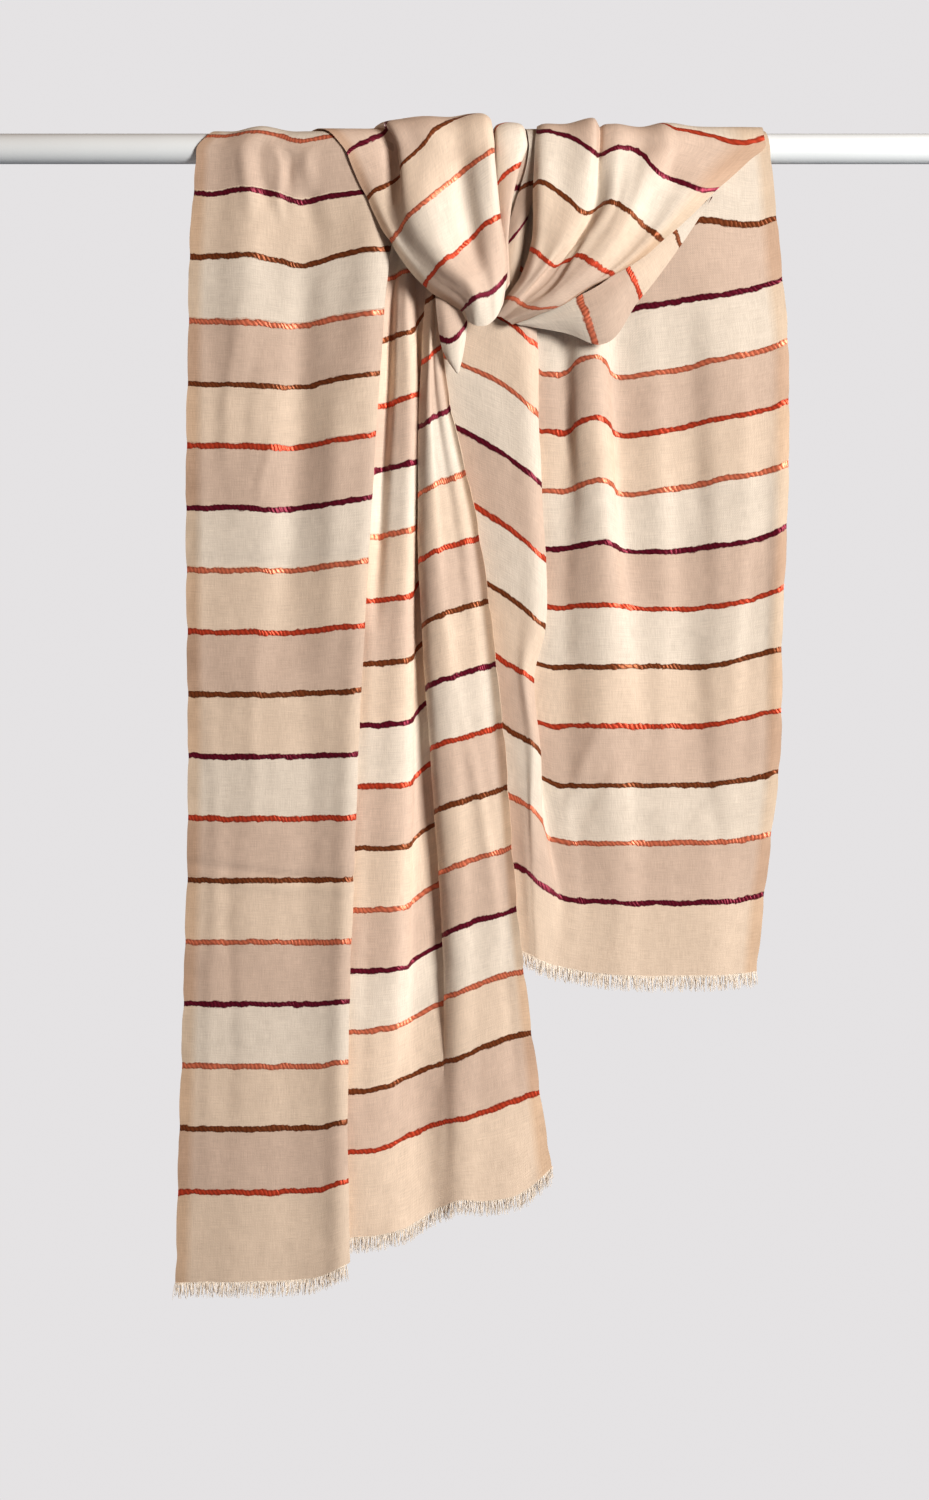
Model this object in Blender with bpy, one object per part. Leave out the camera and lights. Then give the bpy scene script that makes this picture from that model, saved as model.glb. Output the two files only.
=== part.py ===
"""A light stole hung over a round rod and caught up into a swag.

The cloth is one striped length. It comes up from its long end, passes over the rod, hangs in a short
loop behind it, comes forward again as the left swag, is gathered, fans out to the rod as the right
swag, loops behind the rod once more and falls in front as the short end. Each stretch that shows is a
wall of even thickness swept through a table of its fold lines.

Axes: x to the right, y away from the viewer, z up. The origin is on the rod's axis at mid-length.
"""
import bmesh
import bpy
import numpy as np
from mathutils import Vector

MM = 0.001

# Driving sizes, in millimetres
ROD_RADIUS = 10.6
ROD_LENGTH = 700.0
ROD_CHAMFER = 1.0
ROD_SIDES = 48
WALL = 1.1              # thickness of the cloth's solid
SEAM_GAP = 0.6          # between a hem and the strip that carries its fringe
STRIP_HEIGHT = 1.6      # of that strip
STRAND_LENGTH = 9.4     # of the fringe below the strip, before each strand's own share
STRAND_PITCH = 3.4      # from one strand to the next
STRAND_TAPER = 0.55     # share of a strand's half width that is gone at its tip
# How the strands differ in length, and lean along the hem and out of it: size and step of each wave.
LENGTH_WAVES = ((1.3, 2.4), (0.7, 5.1))
LEAN_WAVES = ((0.9, 1.7), (0.35, 3.3))
UNDER_RADIUS = 12.6     # path of the falls behind the rod
OVER_RADIUS = 22.0      # path of the swags behind the rod
LOOP_DROP = 50.0        # depth of the loops behind the rod, below its axis
CROWDING = {"under": 1.35, "over": 1.0, None: 1.0}  # how much closer the rows lie towards the rod
RUN_IN = 12.0           # straight stretch below the rod, before the cloth bends over it
ROD_SHIFT = 0.6         # share of the way to its foot that a fold goes sideways over the rod
BACK_REACH = {"under": 0.6, "over": 1.0}  # share of the way to its path's radius, behind the rod
TURNS = (20, 50, 90, 135, 180)  # degrees round the rod, from its front
CLOTH_ROUGHNESS = 0.85
FRINGE_ROUGHNESS = 0.9
ROD_ROUGHNESS = 0.35
FRINGE_COLOUR = (0.88, 0.83, 0.74)
ROD_COLOUR = (0.90, 0.90, 0.90)
# Loop behind the rod: depth, share of the drop, share of the way from the fold's x to its foot.
LOOPS = {
    "under": ((12.8, 0.45, 0.8), (13.8, 0.86, 1.0), (17.8, 1.0, 1.0)),
    "over": ((23.8, 0.45, 0.8), (23.0, 0.86, 1.0), (19.3, 1.0, 1.0)),
}


class Fold:
    """One fold line of a stretch of cloth, in millimetres.

    across: its place across the cut cloth. x, y, z: its places at the stretch's stations along the
    cloth, and last where it meets the front of the rod. rod: how far along the cloth that is. top:
    its radius over the rod's top. foot: its x at the foot of the loop behind the rod.
    """

    def __init__(self, across, x, y, z, rod=None, top=None, foot=None):
        self.across = across
        self.places = list(zip(x, y, z))
        self.rod = rod
        self.top = top
        self.foot = foot


class Stretch:
    """A stretch of cloth: its stations along the cut cloth, which all its folds share, and its folds."""

    def __init__(self, along, folds):
        self.along = along
        self.folds = folds


# Front panel of the long end, from its selvedge to the fold and its return.
LEFT_FALL = Stretch(
    along=(0, 61, 322, 583.5, 670.5, 714, 757.5),
    folds=(
        Fold(0, rod=791.5, top=12, foot=-142,
             x=(-202.5, -201, -194, -195, -193.5, -193, -190, -187),
             y=(-13, -13, -12.5, -12.5, -12.5, -12.5, -12.2, -12),
             z=(-796, -732, -470.5, -209.5, -122.5, -77.5, -33, 0)),
        Fold(19.5, rod=791.5, top=12, foot=-131,
             x=(-184, -182.5, -176, -176, -175.5, -174.5, -173, -172),
             y=(-14, -14, -13.5, -13.5, -13.5, -13.5, -13, -12),
             z=(-795, -732, -471, -210, -123, -77.5, -33.5, 0)),
        Fold(46, rod=789.5, top=15.5, foot=-115,
             x=(-157, -156.5, -150, -150, -150, -149.5, -149.5, -149.5),
             y=(-15.5, -15.5, -15, -15.5, -16.5, -17, -16.5, -15.5),
             z=(-794.5, -732, -471, -210.5, -124, -77, -31.5, 0)),
        Fold(61.5, rod=792.5, top=12.4, foot=-103,
             x=(-142, -141, -135, -135, -132.5, -132, -132, -132.5),
             y=(-15, -15, -14.5, -14.5, -13.5, -13, -12.6, -12.4),
             z=(-794.5, -732, -471, -211.5, -125.5, -80, -34.5, 0)),
        Fold(82.5, rod=797.5, top=12, foot=-93,
             x=(-121.5, -120.5, -115, -113.5, -113, -113.5, -116, -117),
             y=(-13.5, -13.5, -13, -12.5, -12, -12, -12, -12),
             z=(-794, -731.5, -471, -210.5, -126, -83.5, -39, 0)),
        Fold(106.5, rod=792.5, top=12.4, foot=-75,
             x=(-100, -100, -94, -87, -86.5, -86.5, -89, -92),
             y=(-14.5, -14.5, -14.5, -14.5, -14, -13.5, -13, -12.4),
             z=(-790.5, -729.5, -470.5, -206, -120.5, -77, -34.5, 0)),
        Fold(120.5, rod=790.5, top=12.2, foot=-60.5,
             x=(-86, -87, -81.5, -68, -64, -63.5, -67.5, -72),
             y=(-16.5, -16.5, -16.5, -16.5, -16.2, -15.8, -13.6, -12.2),
             z=(-784, -725, -470.5, -203, -117.5, -73, -32, 0)),
        Fold(128, rod=789.5, top=12, foot=-55.5,
             x=(-80, -81.5, -76, -62, -56.5, -54, -58.5, -64),
             y=(-14, -14, -14, -14, -13.8, -13.6, -13.2, -12),
             z=(-781, -724, -469.5, -201.5, -116, -72, -31.5, 0)),
        Fold(136, rod=788, top=12, foot=-51,
             x=(-85, -86.5, -81.5, -68, -59, -52.5, -53, -57.5),
             y=(-11.5, -11.5, -11.5, -11.5, -11.2, -11.9, -12.5, -12),
             z=(-778.5, -719.5, -467, -199.5, -114, -71.5, -31, 0)),
        Fold(158, rod=787, top=12, foot=-45,
             x=(-107, -107.5, -103, -89, -65, -51.5, -47, -49.5),
             y=(-9.5, -9.5, -9.5, -9.5, -9.5, -9.7, -11.4, -12),
             z=(-774, -714, -460.5, -192.5, -109, -68.5, -29.5, 0)),
    ),
)

# The two pleats beside it, from the hidden fold to the other selvedge.
LEFT_PLEATS = Stretch(
    along=(0, 61, 191.5, 322, 453, 583.5, 670.5, 719.5),
    folds=(
        Fold(165, rod=773.5, top=12, foot=-41.5,
             x=(-105.5, -106, -106, -101, -93.5, -86, -69, -50, -46),
             y=(-5.5, -5.5, -5.5, -5.5, -5.5, -5.5, -5.8, -8.1, -12),
             z=(-773, -711, -586, -456.5, -322.5, -186, -94, -51, 0)),
        Fold(187.5, rod=772, top=12, foot=-33,
             x=(-83.5, -84.5, -84.5, -78, -71, -61, -53.5, -43, -39),
             y=(-6.5, -6.5, -6.5, -6.5, -6.5, -6.5, -7, -9, -12),
             z=(-766, -705.5, -579, -449.5, -318.5, -181.5, -91.5, -49, 0)),
        Fold(210, rod=770, top=12, foot=-26,
             x=(-60.5, -61, -62, -56.5, -52, -46.5, -44, -37.5, -32.5),
             y=(-8.5, -8.5, -8.5, -8.5, -8.5, -8.5, -9.5, -10.3, -12),
             z=(-763, -703, -577.5, -448.5, -317, -178, -88, -45.5, 0)),
        Fold(222.5, rod=768.5, top=12, foot=-20.5,
             x=(-48, -48.5, -46, -41.5, -40, -37, -39, -32.5, -27.5),
             y=(-9, -9, -9.5, -9.5, -10, -10.5, -11, -10.9, -12),
             z=(-760, -698.5, -576, -447.5, -315, -175.5, -87, -44.5, 0)),
        Fold(229.5, rod=767, top=12, foot=-16.5,
             x=(-41, -41.5, -40, -37, -36, -32.5, -36, -29, -24),
             y=(-8, -7.5, -6.5, -6.5, -6.5, -7, -9, -10.8, -12),
             z=(-758, -695, -574.5, -446, -313, -173.5, -84.5, -42, 0)),
        Fold(238, rod=765, top=12, foot=-11.5,
             x=(-32.5, -33, -36, -34.5, -34.5, -32.5, -33, -24.5, -20),
             y=(-6, -5, -3, -2.5, -2, -2.5, -6.5, -10.8, -12),
             z=(-753, -691, -570.5, -441.5, -308.5, -169.5, -81, -38.5, 0)),
        Fold(246.5, rod=762.5, top=12, foot=-6.5,
             x=(-25.5, -25.5, -24, -28.5, -31, -30.5, -29, -20, -15.5),
             y=(-5, -4, -1.6, -0.6, -0.2, -1.5, -6, -10.9, -12),
             z=(-748.5, -687.5, -563, -435.5, -304, -164, -77.5, -34.5, 0)),
        Fold(257.5, rod=758, top=12, foot=-2,
             x=(-18.5, -16.5, -10, -17, -24, -25.5, -24, -15.5, -11.5),
             y=(-6, -5, -3.6, -3.4, -3.4, -4.5, -8, -11.6, -12),
             z=(-744, -684.5, -556, -427.5, -296, -155.5, -72, -29.5, 0)),
        Fold(267.5, rod=755.5, top=12, foot=2,
             x=(-13, -11, -15.5, -24, -32, -30.5, -22, -11, -8),
             y=(-8.5, -8, -8, -8, -8, -8.5, -10.5, -12.1, -12),
             z=(-742, -683, -553, -423.5, -291, -151, -68.5, -26, 0)),
        Fold(273, rod=753, top=12, foot=5,
             x=(-8, -7.5, -12, -21.5, -29, -27.5, -19, -8, -5),
             y=(-11, -11, -12.5, -12.5, -12.5, -12.5, -12.5, -12.4, -12),
             z=(-739, -682.5, -551, -421.5, -289, -150, -66.5, -23, 0)),
        Fold(297.5, rod=751, top=12, foot=9,
             x=(16.5, 13.5, 6.5, -2.5, -14.5, -23.5, -15, -5, -2.5),
             y=(-14, -14.5, -16.5, -16.5, -16, -14.5, -13, -12.6, -12),
             z=(-738, -676, -543, -415, -281.5, -146.5, -64.5, -20.5, 0)),
        Fold(323.5, rod=748.5, top=12, foot=11.5,
             x=(42.5, 37, 25.5, 15.5, 2, -19, -11.5, -2, 0.5),
             y=(-15.5, -16, -19.6, -19.6, -18.6, -15.5, -13.5, -12.6, -12),
             z=(-731, -667, -537.5, -409.5, -277, -143, -62.5, -17.5, 0)),
        Fold(343, rod=746, top=12, foot=15,
             x=(61, 53, 37, 27, 11, -15, -8, 1, 3),
             y=(-15, -16, -21, -21, -19.4, -15.5, -13.5, -12.5, -12),
             z=(-714.5, -661.5, -533.5, -405.5, -274.5, -139.5, -60, -15, 0)),
    ),
)

# Short end: slanting pleat, box pleat, broad panel and selvedge.
RIGHT_FALL = Stretch(
    along=(0, 50.5, 94, 137.5, 181, 224.5, 311.5, 355, 398.5, 442.5, 486),
    folds=(
        Fold(0, rod=516.5, top=12, foot=20.5,
             x=(27.5, 25, 21, 16.5, 10.5, 4, -13, -19, -18, -3, 5.5, 10),
             y=(-6, -6, -6, -6, -5.9, -6, -7, -9, -10, -11.3, -11.8, -12),
             z=(-559.5, -500, -449.5, -399, -348.5, -297.5, -192, -144, -110, -67, -27.5, 0)),
        Fold(14, rod=515, top=12, foot=28.5,
             x=(40, 37, 32.5, 27.5, 22, 15.5, 2, -4, 4, 12, 16.5, 18.5),
             y=(-8, -8.5, -8.8, -9, -9, -9, -9, -9.8, -10.8, -11.6, -11.9, -12),
             z=(-564, -504.5, -455.5, -406.5, -356.5, -306, -201, -152, -112, -70, -28, 0)),
        Fold(33.5, rod=511, top=12, foot=40,
             x=(48, 45, 43.5, 41, 36, 37, 29.5, 26, 29.5, 31, 32, 32.5),
             y=(-10, -11, -12, -12.5, -12, -13, -13, -13, -13, -12.5, -12.2, -12),
             z=(-567.5, -509.5, -461.5, -414.5, -366, -320, -217.5, -166, -123, -77, -28.5, 0)),
        Fold(52, rod=507, top=12, foot=50,
             x=(54, 53.5, 49.5, 50, 44.5, 52, 50, 48, 46.5, 41.5, 42, 43),
             y=(-10, -11, -12.5, -13.5, -13, -13.5, -13.5, -13.5, -13, -12.5, -12.2, -12),
             z=(-570.5, -516.5, -466, -420.5, -371.5, -334, -234, -185, -137, -88, -29.5, 0)),
        Fold(57.5, rod=505.5, top=12, foot=54,
             x=(58.5, 60, 54, 53.5, 48.5, 56.5, 54, 52, 51.5, 46.5, 47, 48),
             y=(-9, -9.5, -10, -10.5, -10, -10.5, -10.5, -10.5, -10.5, -11.5, -11.9, -12),
             z=(-572, -521, -472, -425, -375, -337.5, -238, -189, -140.5, -91, -29, 0)),
        Fold(67, rod=509.5, top=12, foot=58.5,
             x=(62.5, 64, 56, 49.5, 42.5, 47, 46.5, 45, 46, 46.5, 49.5, 53),
             y=(-8, -8, -7.9, -7.4, -7.2, -7.6, -7.6, -7.6, -7.8, -9, -9.9, -12),
             z=(-573.5, -523.5, -478, -432.5, -385, -346, -250.5, -204.5, -157, -109, -66, 0)),
        Fold(77, rod=560, top=12, foot=64,
             x=(68, 69.5, 61, 53.5, 47, 49.5, 51, 50, 50, 51.5, 56.5, 59),
             y=(-7.5, -6.6, -4.6, -3.4, -3.2, -3.2, -3.2, -3.2, -3.4, -5, -8.5, -12),
             z=(-574.5, -526.5, -486, -441.5, -401, -361, -280.5, -239.5, -197.5, -155.5, -108, 0)),
        Fold(82.5, rod=565, top=12, foot=69,
             x=(74, 76.5, 72.5, 62, 57.5, 58.5, 60, 59, 59, 59, 62.5, 65),
             y=(-7.6, -7.2, -6, -4.4, -3.8, -3.8, -3.8, -3.8, -4, -5.2, -8, -12),
             z=(-576, -528, -488, -446, -405.5, -364, -282, -241, -199.5, -158, -112.5, 0)),
        Fold(94, rod=568.5, top=12, foot=77.5,
             x=(84.5, 86.5, 81.5, 75, 73, 72.5, 72.5, 72.5, 72.5, 71, 72.5, 74),
             y=(-8, -7.5, -6.5, -5.5, -5.1, -5, -5, -4.8, -4.8, -5.5, -7, -12),
             z=(-578, -529, -488, -447.5, -406, -364.5, -281.5, -241, -199.5, -158, -113.5, 0)),
        Fold(102, rod=568.5, top=12, foot=83.5,
             x=(93, 95, 90, 84.5, 82.5, 81.5, 81, 80, 78, 78, 79, 81.5),
             y=(-9, -8.5, -8.2, -8, -8.2, -8.5, -9.5, -10, -10.5, -11, -11.5, -12),
             z=(-579, -529, -488, -447.5, -406, -364.5, -280, -237.5, -194.5, -152, -108.5, 0)),
        Fold(123, rod=568.5, top=12, foot=98.5,
             x=(112.5, 113, 110.5, 107, 105, 104, 102.5, 101, 99, 97.5, 97, 97.5),
             y=(-10.5, -10.5, -10.7, -11, -11.5, -12, -12.8, -12.8, -12.6, -12.4, -12.2, -12),
             z=(-580.5, -530, -488, -447.5, -406, -364.5, -278.5, -236, -192.5, -150, -107, 0)),
        Fold(127.5, rod=570, top=12, foot=101,
             x=(116.5, 117.5, 115.5, 112.5, 111, 110, 106.5, 104.5, 102.5, 101, 100, 100.5),
             y=(-10.5, -10.4, -10.4, -10.4, -10.5, -10.5, -10.2, -9.4, -9, -9, -10.2, -12),
             z=(-580.5, -530, -488, -447.5, -406, -364.5, -280.5, -238.5, -196, -153.5, -110, 0)),
        Fold(131.5, rod=570.5, top=12, foot=104,
             x=(120.5, 121.5, 119.5, 117, 116.5, 116, 109, 106, 104, 102.5, 103, 104),
             y=(-10.5, -10, -9.7, -9.5, -9.3, -9, -7.2, -6.2, -6, -6.3, -8, -12),
             z=(-581, -530, -488, -447.5, -406, -364.5, -282, -241.5, -199.5, -157.5, -112.5, 0)),
        Fold(158, rod=571, top=12, foot=127.5,
             x=(145, 145, 144.5, 144, 143, 142.5, 142.5, 140.5, 138, 137, 133.5, 131),
             y=(-11.5, -11, -10.8, -10.5, -10, -9.5, -9, -8.5, -8, -8, -9.5, -12),
             z=(-581, -530, -488, -447.5, -406, -364.5, -283.5, -241, -199, -157.5, -110.5, 0)),
        Fold(189, rod=570, top=12, foot=158,
             x=(173, 174.5, 175, 175.5, 175.5, 175.5, 175.5, 174.5, 174, 173, 169, 165),
             y=(-13.5, -13.5, -13.3, -13, -13, -13, -13, -13, -13, -13, -13, -12),
             z=(-580.5, -529, -487.5, -446.5, -405, -363.5, -280, -234.5, -192, -150.5, -105.5, 0)),
        Fold(222.5, rod=582.5, top=12, foot=191,
             x=(193.5, 198.5, 203.5, 208, 209.5, 210.5, 214, 214.5, 214.5, 214, 209.5, 202),
             y=(-11.5, -11.5, -11.3, -11, -11, -11, -11, -11, -11, -11, -11.5, -12),
             z=(-579, -527, -484, -441, -397.5, -355, -272.5, -227, -183.5, -141.5, -98, 0)),
        Fold(235, rod=580.5, top=12, foot=201,
             x=(205, 210.5, 215, 220, 222, 222, 225.5, 227, 227, 226.5, 223, 214),
             y=(-10.5, -10.5, -10, -10, -10, -10, -10, -10, -10, -10, -10.5, -12),
             z=(-578, -523.5, -481.5, -437.5, -394.5, -352, -266, -222.5, -178.5, -136, -92.5, 0)),
    ),
)

# Swag that comes down from the rod on the left.
LEFT_SWAG = Stretch(
    along=(0, 18, 61.5, 105),
    folds=(
        Fold(0, rod=200, top=14.2, foot=-142,
             x=(1, -2.4, -28.3, -52.2, -85.8),
             y=(-25, -27, -25, -22, -14),
             z=(-122.5, -117.6, -100.1, -69.3, 0)),
        Fold(10, rod=194, top=14.2, foot=-127.5,
             x=(2.4, -0.3, -25.5, -49.3, -78),
             y=(-28.5, -31.5, -29, -24.5, -14),
             z=(-123.9, -116.2, -96.6, -65.8, 0)),
        Fold(24, rod=185.5, top=14.1, foot=-111,
             x=(4.5, 1.8, -22.8, -45.8, -59.8),
             y=(-30.5, -35, -32, -25.6, -14),
             z=(-126, -114.1, -93.1, -62.3, 0)),
        Fold(31, rod=180, top=14.1, foot=-101,
             x=(5.6, 2.8, -21.3, -43.8, -51.4),
             y=(-31.2, -36.4, -33.6, -27.6, -13.9),
             z=(-126.7, -113.7, -91.7, -59.5, 0)),
        Fold(36.5, rod=175, top=14.9, foot=-94,
             x=(6.6, 3.8, -19.6, -42, -45.5),
             y=(-32, -37.8, -35.6, -30.6, -15),
             z=(-127.4, -112.7, -89.9, -56.7, 0)),
        Fold(42, rod=171, top=17.4, foot=-88.5,
             x=(7.7, 4.9, -18.2, -39.5, -47.2),
             y=(-32.6, -39.2, -37.8, -34, -19.6),
             z=(-128, -111.6, -88.2, -53.5, 0)),
        Fold(57.5, rod=155.5, top=20.5, foot=-72,
             x=(10.8, 8, -12.9, -28.3, -33.9),
             y=(-33, -41, -40.5, -37.4, -24),
             z=(-128.4, -109.9, -83.3, -44.1, 0)),
        Fold(75.5, rod=139.5, top=22, foot=-51,
             x=(15, 12.9, -3.8, -13.6, -19.2),
             y=(-33, -39.5, -37, -33, -27),
             z=(-128.1, -107.8, -77, -32.2, 0)),
        Fold(89.5, rod=127.5, top=21.5, foot=-27.5,
             x=(18.5, 17.1, 4.5, -2.4, -4.5),
             y=(-32.5, -38, -34, -29.5, -26),
             z=(-126, -106.4, -67.9, -21.7, 0)),
        Fold(103.5, rod=117.5, top=23.5, foot=-10,
             x=(22.8, 22.8, 15.7, 10.8, 9.4),
             y=(-32, -37.5, -37, -34, -30),
             z=(-121.1, -102.2, -57.4, -12.6, 0)),
        Fold(112, rod=112.5, top=23.5, foot=-0.5,
             x=(25.5, 27.6, 22.8, 17.8, 17.1),
             y=(-30, -34.5, -35, -33, -30),
             z=(-115.5, -96.6, -53.2, -7.7, 0)),
        Fold(120.5, rod=110.5, top=20.5, foot=8,
             x=(27, 29.7, 24.8, 20.6, 20.6),
             y=(-27, -28.5, -28.5, -27, -25),
             z=(-109.9, -91.7, -51.1, -5.6, 0)),
        Fold(129, rod=108, top=16.5, foot=15.5,
             x=(23.4, 24.8, 20.6, 18.5, 18.5),
             y=(-23.5, -22.5, -21.5, -19.5, -19),
             z=(-107.1, -88.9, -49, -2.8, 0)),
    ),
)

# Narrow pleat between the two swags.
MIDDLE_PLEAT = Stretch(
    along=(0, 21, 61.5),
    folds=(
        Fold(0, rod=98, top=14, foot=19,
             x=(23.4, 21.3, 19.2, 21.3),
             y=(-16.8, -16.4, -15.8, -14.6),
             z=(-106.4, -78.4, -35.7, 0)),
        Fold(10, rod=88, top=16.5, foot=23,
             x=(26.2, 24.1, 23.4, 22.8),
             y=(-19.5, -20, -20.5, -19),
             z=(-105, -74.2, -28, 0)),
        Fold(21, rod=80, top=18, foot=27.5,
             x=(29.7, 28.3, 31.1, 31.8),
             y=(-21, -22.5, -24, -21.5),
             z=(-100.8, -70, -19.6, 0)),
        Fold(31, rod=75.5, top=16.5, foot=32.5,
             x=(31.1, 30.4, 38.8, 42.3),
             y=(-20, -21.5, -22, -19.5),
             z=(-96.6, -64.4, -14.7, 0)),
        Fold(35, rod=75, top=14.5, foot=34.5,
             x=(29.7, 29, 39.5, 43.8),
             y=(-18, -18, -18, -16.5),
             z=(-95.2, -63, -13.3, 0)),
    ),
)

# Deeper fold behind that pleat.
INNER_FOLD = Stretch(
    along=(0, 43.5, 77, 105),
    folds=(
        Fold(0, rod=115.5, top=13.8, foot=37.5,
             x=(28.3, 26.2, 35.3, 43.8, 45.1),
             y=(-14.8, -14.8, -14.8, -14.2, -13.8),
             z=(-107.8, -74.2, -41.3, -11.2, 0)),
        Fold(10, rod=114, top=13.8, foot=41,
             x=(30.4, 31.1, 39.5, 46.5, 47.2),
             y=(-16.4, -16.8, -15.8, -14.6, -13.8),
             z=(-105, -67.9, -37.8, -9.8, 0)),
        Fold(24, rod=114, top=13.8, foot=44.5,
             x=(33.9, 38.1, 44.4, 50, 49.3),
             y=(-16.7, -17.8, -16, -14.4, -13.8),
             z=(-100.8, -59.5, -35, -9.8, 0)),
        Fold(35, rod=114, top=13.8, foot=47,
             x=(36.8, 44.4, 50.8, 53.5, 52.2),
             y=(-15.4, -16, -15, -14.2, -13.8),
             z=(-99.4, -50.4, -30.8, -9.8, 0)),
    ),
)

# Swag that fans out to the rod on the right.
RIGHT_SWAG = Stretch(
    along=(-21, 0, 21, 43.5, 87),
    folds=(
        Fold(0, rod=120.5, top=15.8, foot=57,
             x=(20.6, 29, 38.8, 45.8, 47.9, 49.3),
             y=(-17.5, -21, -25, -24, -22, -16.4),
             z=(-119, -107.1, -93.1, -73.5, -29.4, 0)),
        Fold(8.5, rod=120.5, top=17, foot=60.5,
             x=(22, 31.1, 41.6, 48.6, 52.2, 53.5),
             y=(-19, -24, -29, -28.5, -27, -20),
             z=(-119.7, -107.8, -94.5, -75.6, -27.3, 0)),
        Fold(26.5, rod=124.5, top=17, foot=74.5,
             x=(24.1, 33.9, 46.5, 55.6, 68.9, 71),
             y=(-20, -26, -31, -31, -29.5, -21),
             z=(-120.4, -108.5, -95.2, -81.9, -37.8, 0)),
        Fold(43.5, rod=137, top=20.8, foot=90.5,
             x=(25.9, 36.8, 50.8, 60.5, 83.6, 91.3),
             y=(-20.2, -26.6, -30.5, -31, -31, -24),
             z=(-120.7, -109.9, -97.3, -86.1, -49.7, 0)),
        Fold(50.5, rod=138, top=17.6, foot=93.5,
             x=(26.6, 38.1, 52.8, 63.3, 87.1, 93.4),
             y=(-20.2, -26.2, -28.2, -28.8, -27.9, -18),
             z=(-121.3, -110.9, -98.3, -86.8, -49, 0)),
        Fold(59, rod=138.5, top=15.2, foot=96,
             x=(27.2, 39.2, 54.6, 66.4, 90.2, 94.8),
             y=(-20.4, -26, -27.2, -27.8, -26.4, -15),
             z=(-121.8, -112, -99.8, -85.2, -47.2, 0)),
        Fold(68, rod=138.5, top=16.8, foot=100,
             x=(27.6, 40.2, 56.3, 70, 93.8, 97.6),
             y=(-20.8, -26.6, -28.6, -29.2, -28, -17.8),
             z=(-122.3, -113, -100.4, -82.7, -44.8, 0)),
        Fold(78.5, rod=134.5, top=17.2, foot=106,
             x=(28.3, 43, 60.5, 75.2, 99, 104.6),
             y=(-21.6, -28.5, -32.5, -32.6, -32.2, -20),
             z=(-122.8, -114.4, -101.5, -79.8, -42.7, 0)),
        Fold(105, rod=137, top=15.2, foot=123.5,
             x=(30.1, 50, 68.2, 88.5, 111.6, 124.9),
             y=(-23, -31.5, -35, -36, -35, -16.5),
             z=(-123.9, -116.2, -103.6, -84.7, -47.6, 0)),
        Fold(127.5, rod=157.5, top=18.5, foot=142.5,
             x=(31.5, 57, 74.5, 94.1, 120.7, 145.2),
             y=(-22.5, -32, -33.5, -34, -32.5, -20),
             z=(-124.6, -115.8, -104.3, -88.2, -55.3, 0)),
        Fold(144, rod=164.5, top=15.4, foot=162,
             x=(32.5, 61.2, 78.8, 99, 127.7, 164.8),
             y=(-21.5, -31, -31.5, -32, -30, -16),
             z=(-125.3, -115.5, -104.3, -91, -60.9, 0)),
        Fold(157, rod=172, top=15.2, foot=191,
             x=(33.2, 64.4, 82.2, 102.6, 134, 197.8),
             y=(-20.2, -29.5, -30, -30.5, -28, -15.6),
             z=(-125.6, -114.8, -103.2, -92, -65.8, 0)),
        Fold(162.5, rod=168, top=15, foot=202.5,
             x=(33.6, 66.1, 84.3, 103.9, 137.5, 211),
             y=(-18.2, -26.8, -27.3, -27.6, -24.8, -15.2),
             z=(-125.6, -113.7, -102.2, -92.4, -67.9, 0)),
    ),
)

# Turned edge below the right swag, its reverse side out.
RIGHT_LINING = Stretch(
    along=(-28, -14, 0, 43.5, 87, 131),
    folds=(
        Fold(162.5,
             x=(34.6, 56.3, 80.1, 112.3, 145.2, 173.2),
             y=(-16, -20.3, -24.6, -24.9, -22.4, -17.4),
             z=(-123.2, -116.9, -106.4, -84.7, -59.5, -36.4)),
        Fold(183.5,
             x=(37.4, 65.4, 86.4, 118.6, 148.8, 172.5),
             y=(-16.4, -22, -27, -25, -19.4, -15.4),
             z=(-125.3, -123.9, -124.6, -96.6, -65.1, -37.8)),
        Fold(199,
             x=(40.9, 72.4, 90.6, 122.8, 150.8, 171.1),
             y=(-15.4, -19.5, -23, -21, -17, -14.6),
             z=(-126, -132.3, -140, -107.8, -70.7, -39.9)),
    ),
)

# Turned edge and tip below the left swag, its reverse side out.
LEFT_LINING = Stretch(
    along=(0, 14, 28, 42, 59),
    folds=(
        Fold(0,
             x=(-3.5, -0.3, 1.8, -0.3, -4.5),
             y=(-21, -22.4, -22.8, -23, -23.4),
             z=(-158.2, -142.8, -124.6, -116.2, -107.8)),
        Fold(10,
             x=(-4.2, -4.5, -3.8, -6.6, -9.4),
             y=(-21.6, -24, -25.2, -25.1, -24.9),
             z=(-159.6, -149.8, -133, -118.3, -106.4)),
        Fold(19.5,
             x=(-5.2, -9.4, -10.8, -13.6, -15),
             y=(-21.4, -23.6, -24.8, -25.3, -24.9),
             z=(-160.3, -151.2, -138.2, -120.4, -105)),
        Fold(29.5,
             x=(-6.3, -13.6, -17.1, -19.2, -20.6),
             y=(-20.6, -21, -21.6, -22.6, -23.6),
             z=(-159.2, -147.7, -135.8, -119, -102.9)),
    ),
)

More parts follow.
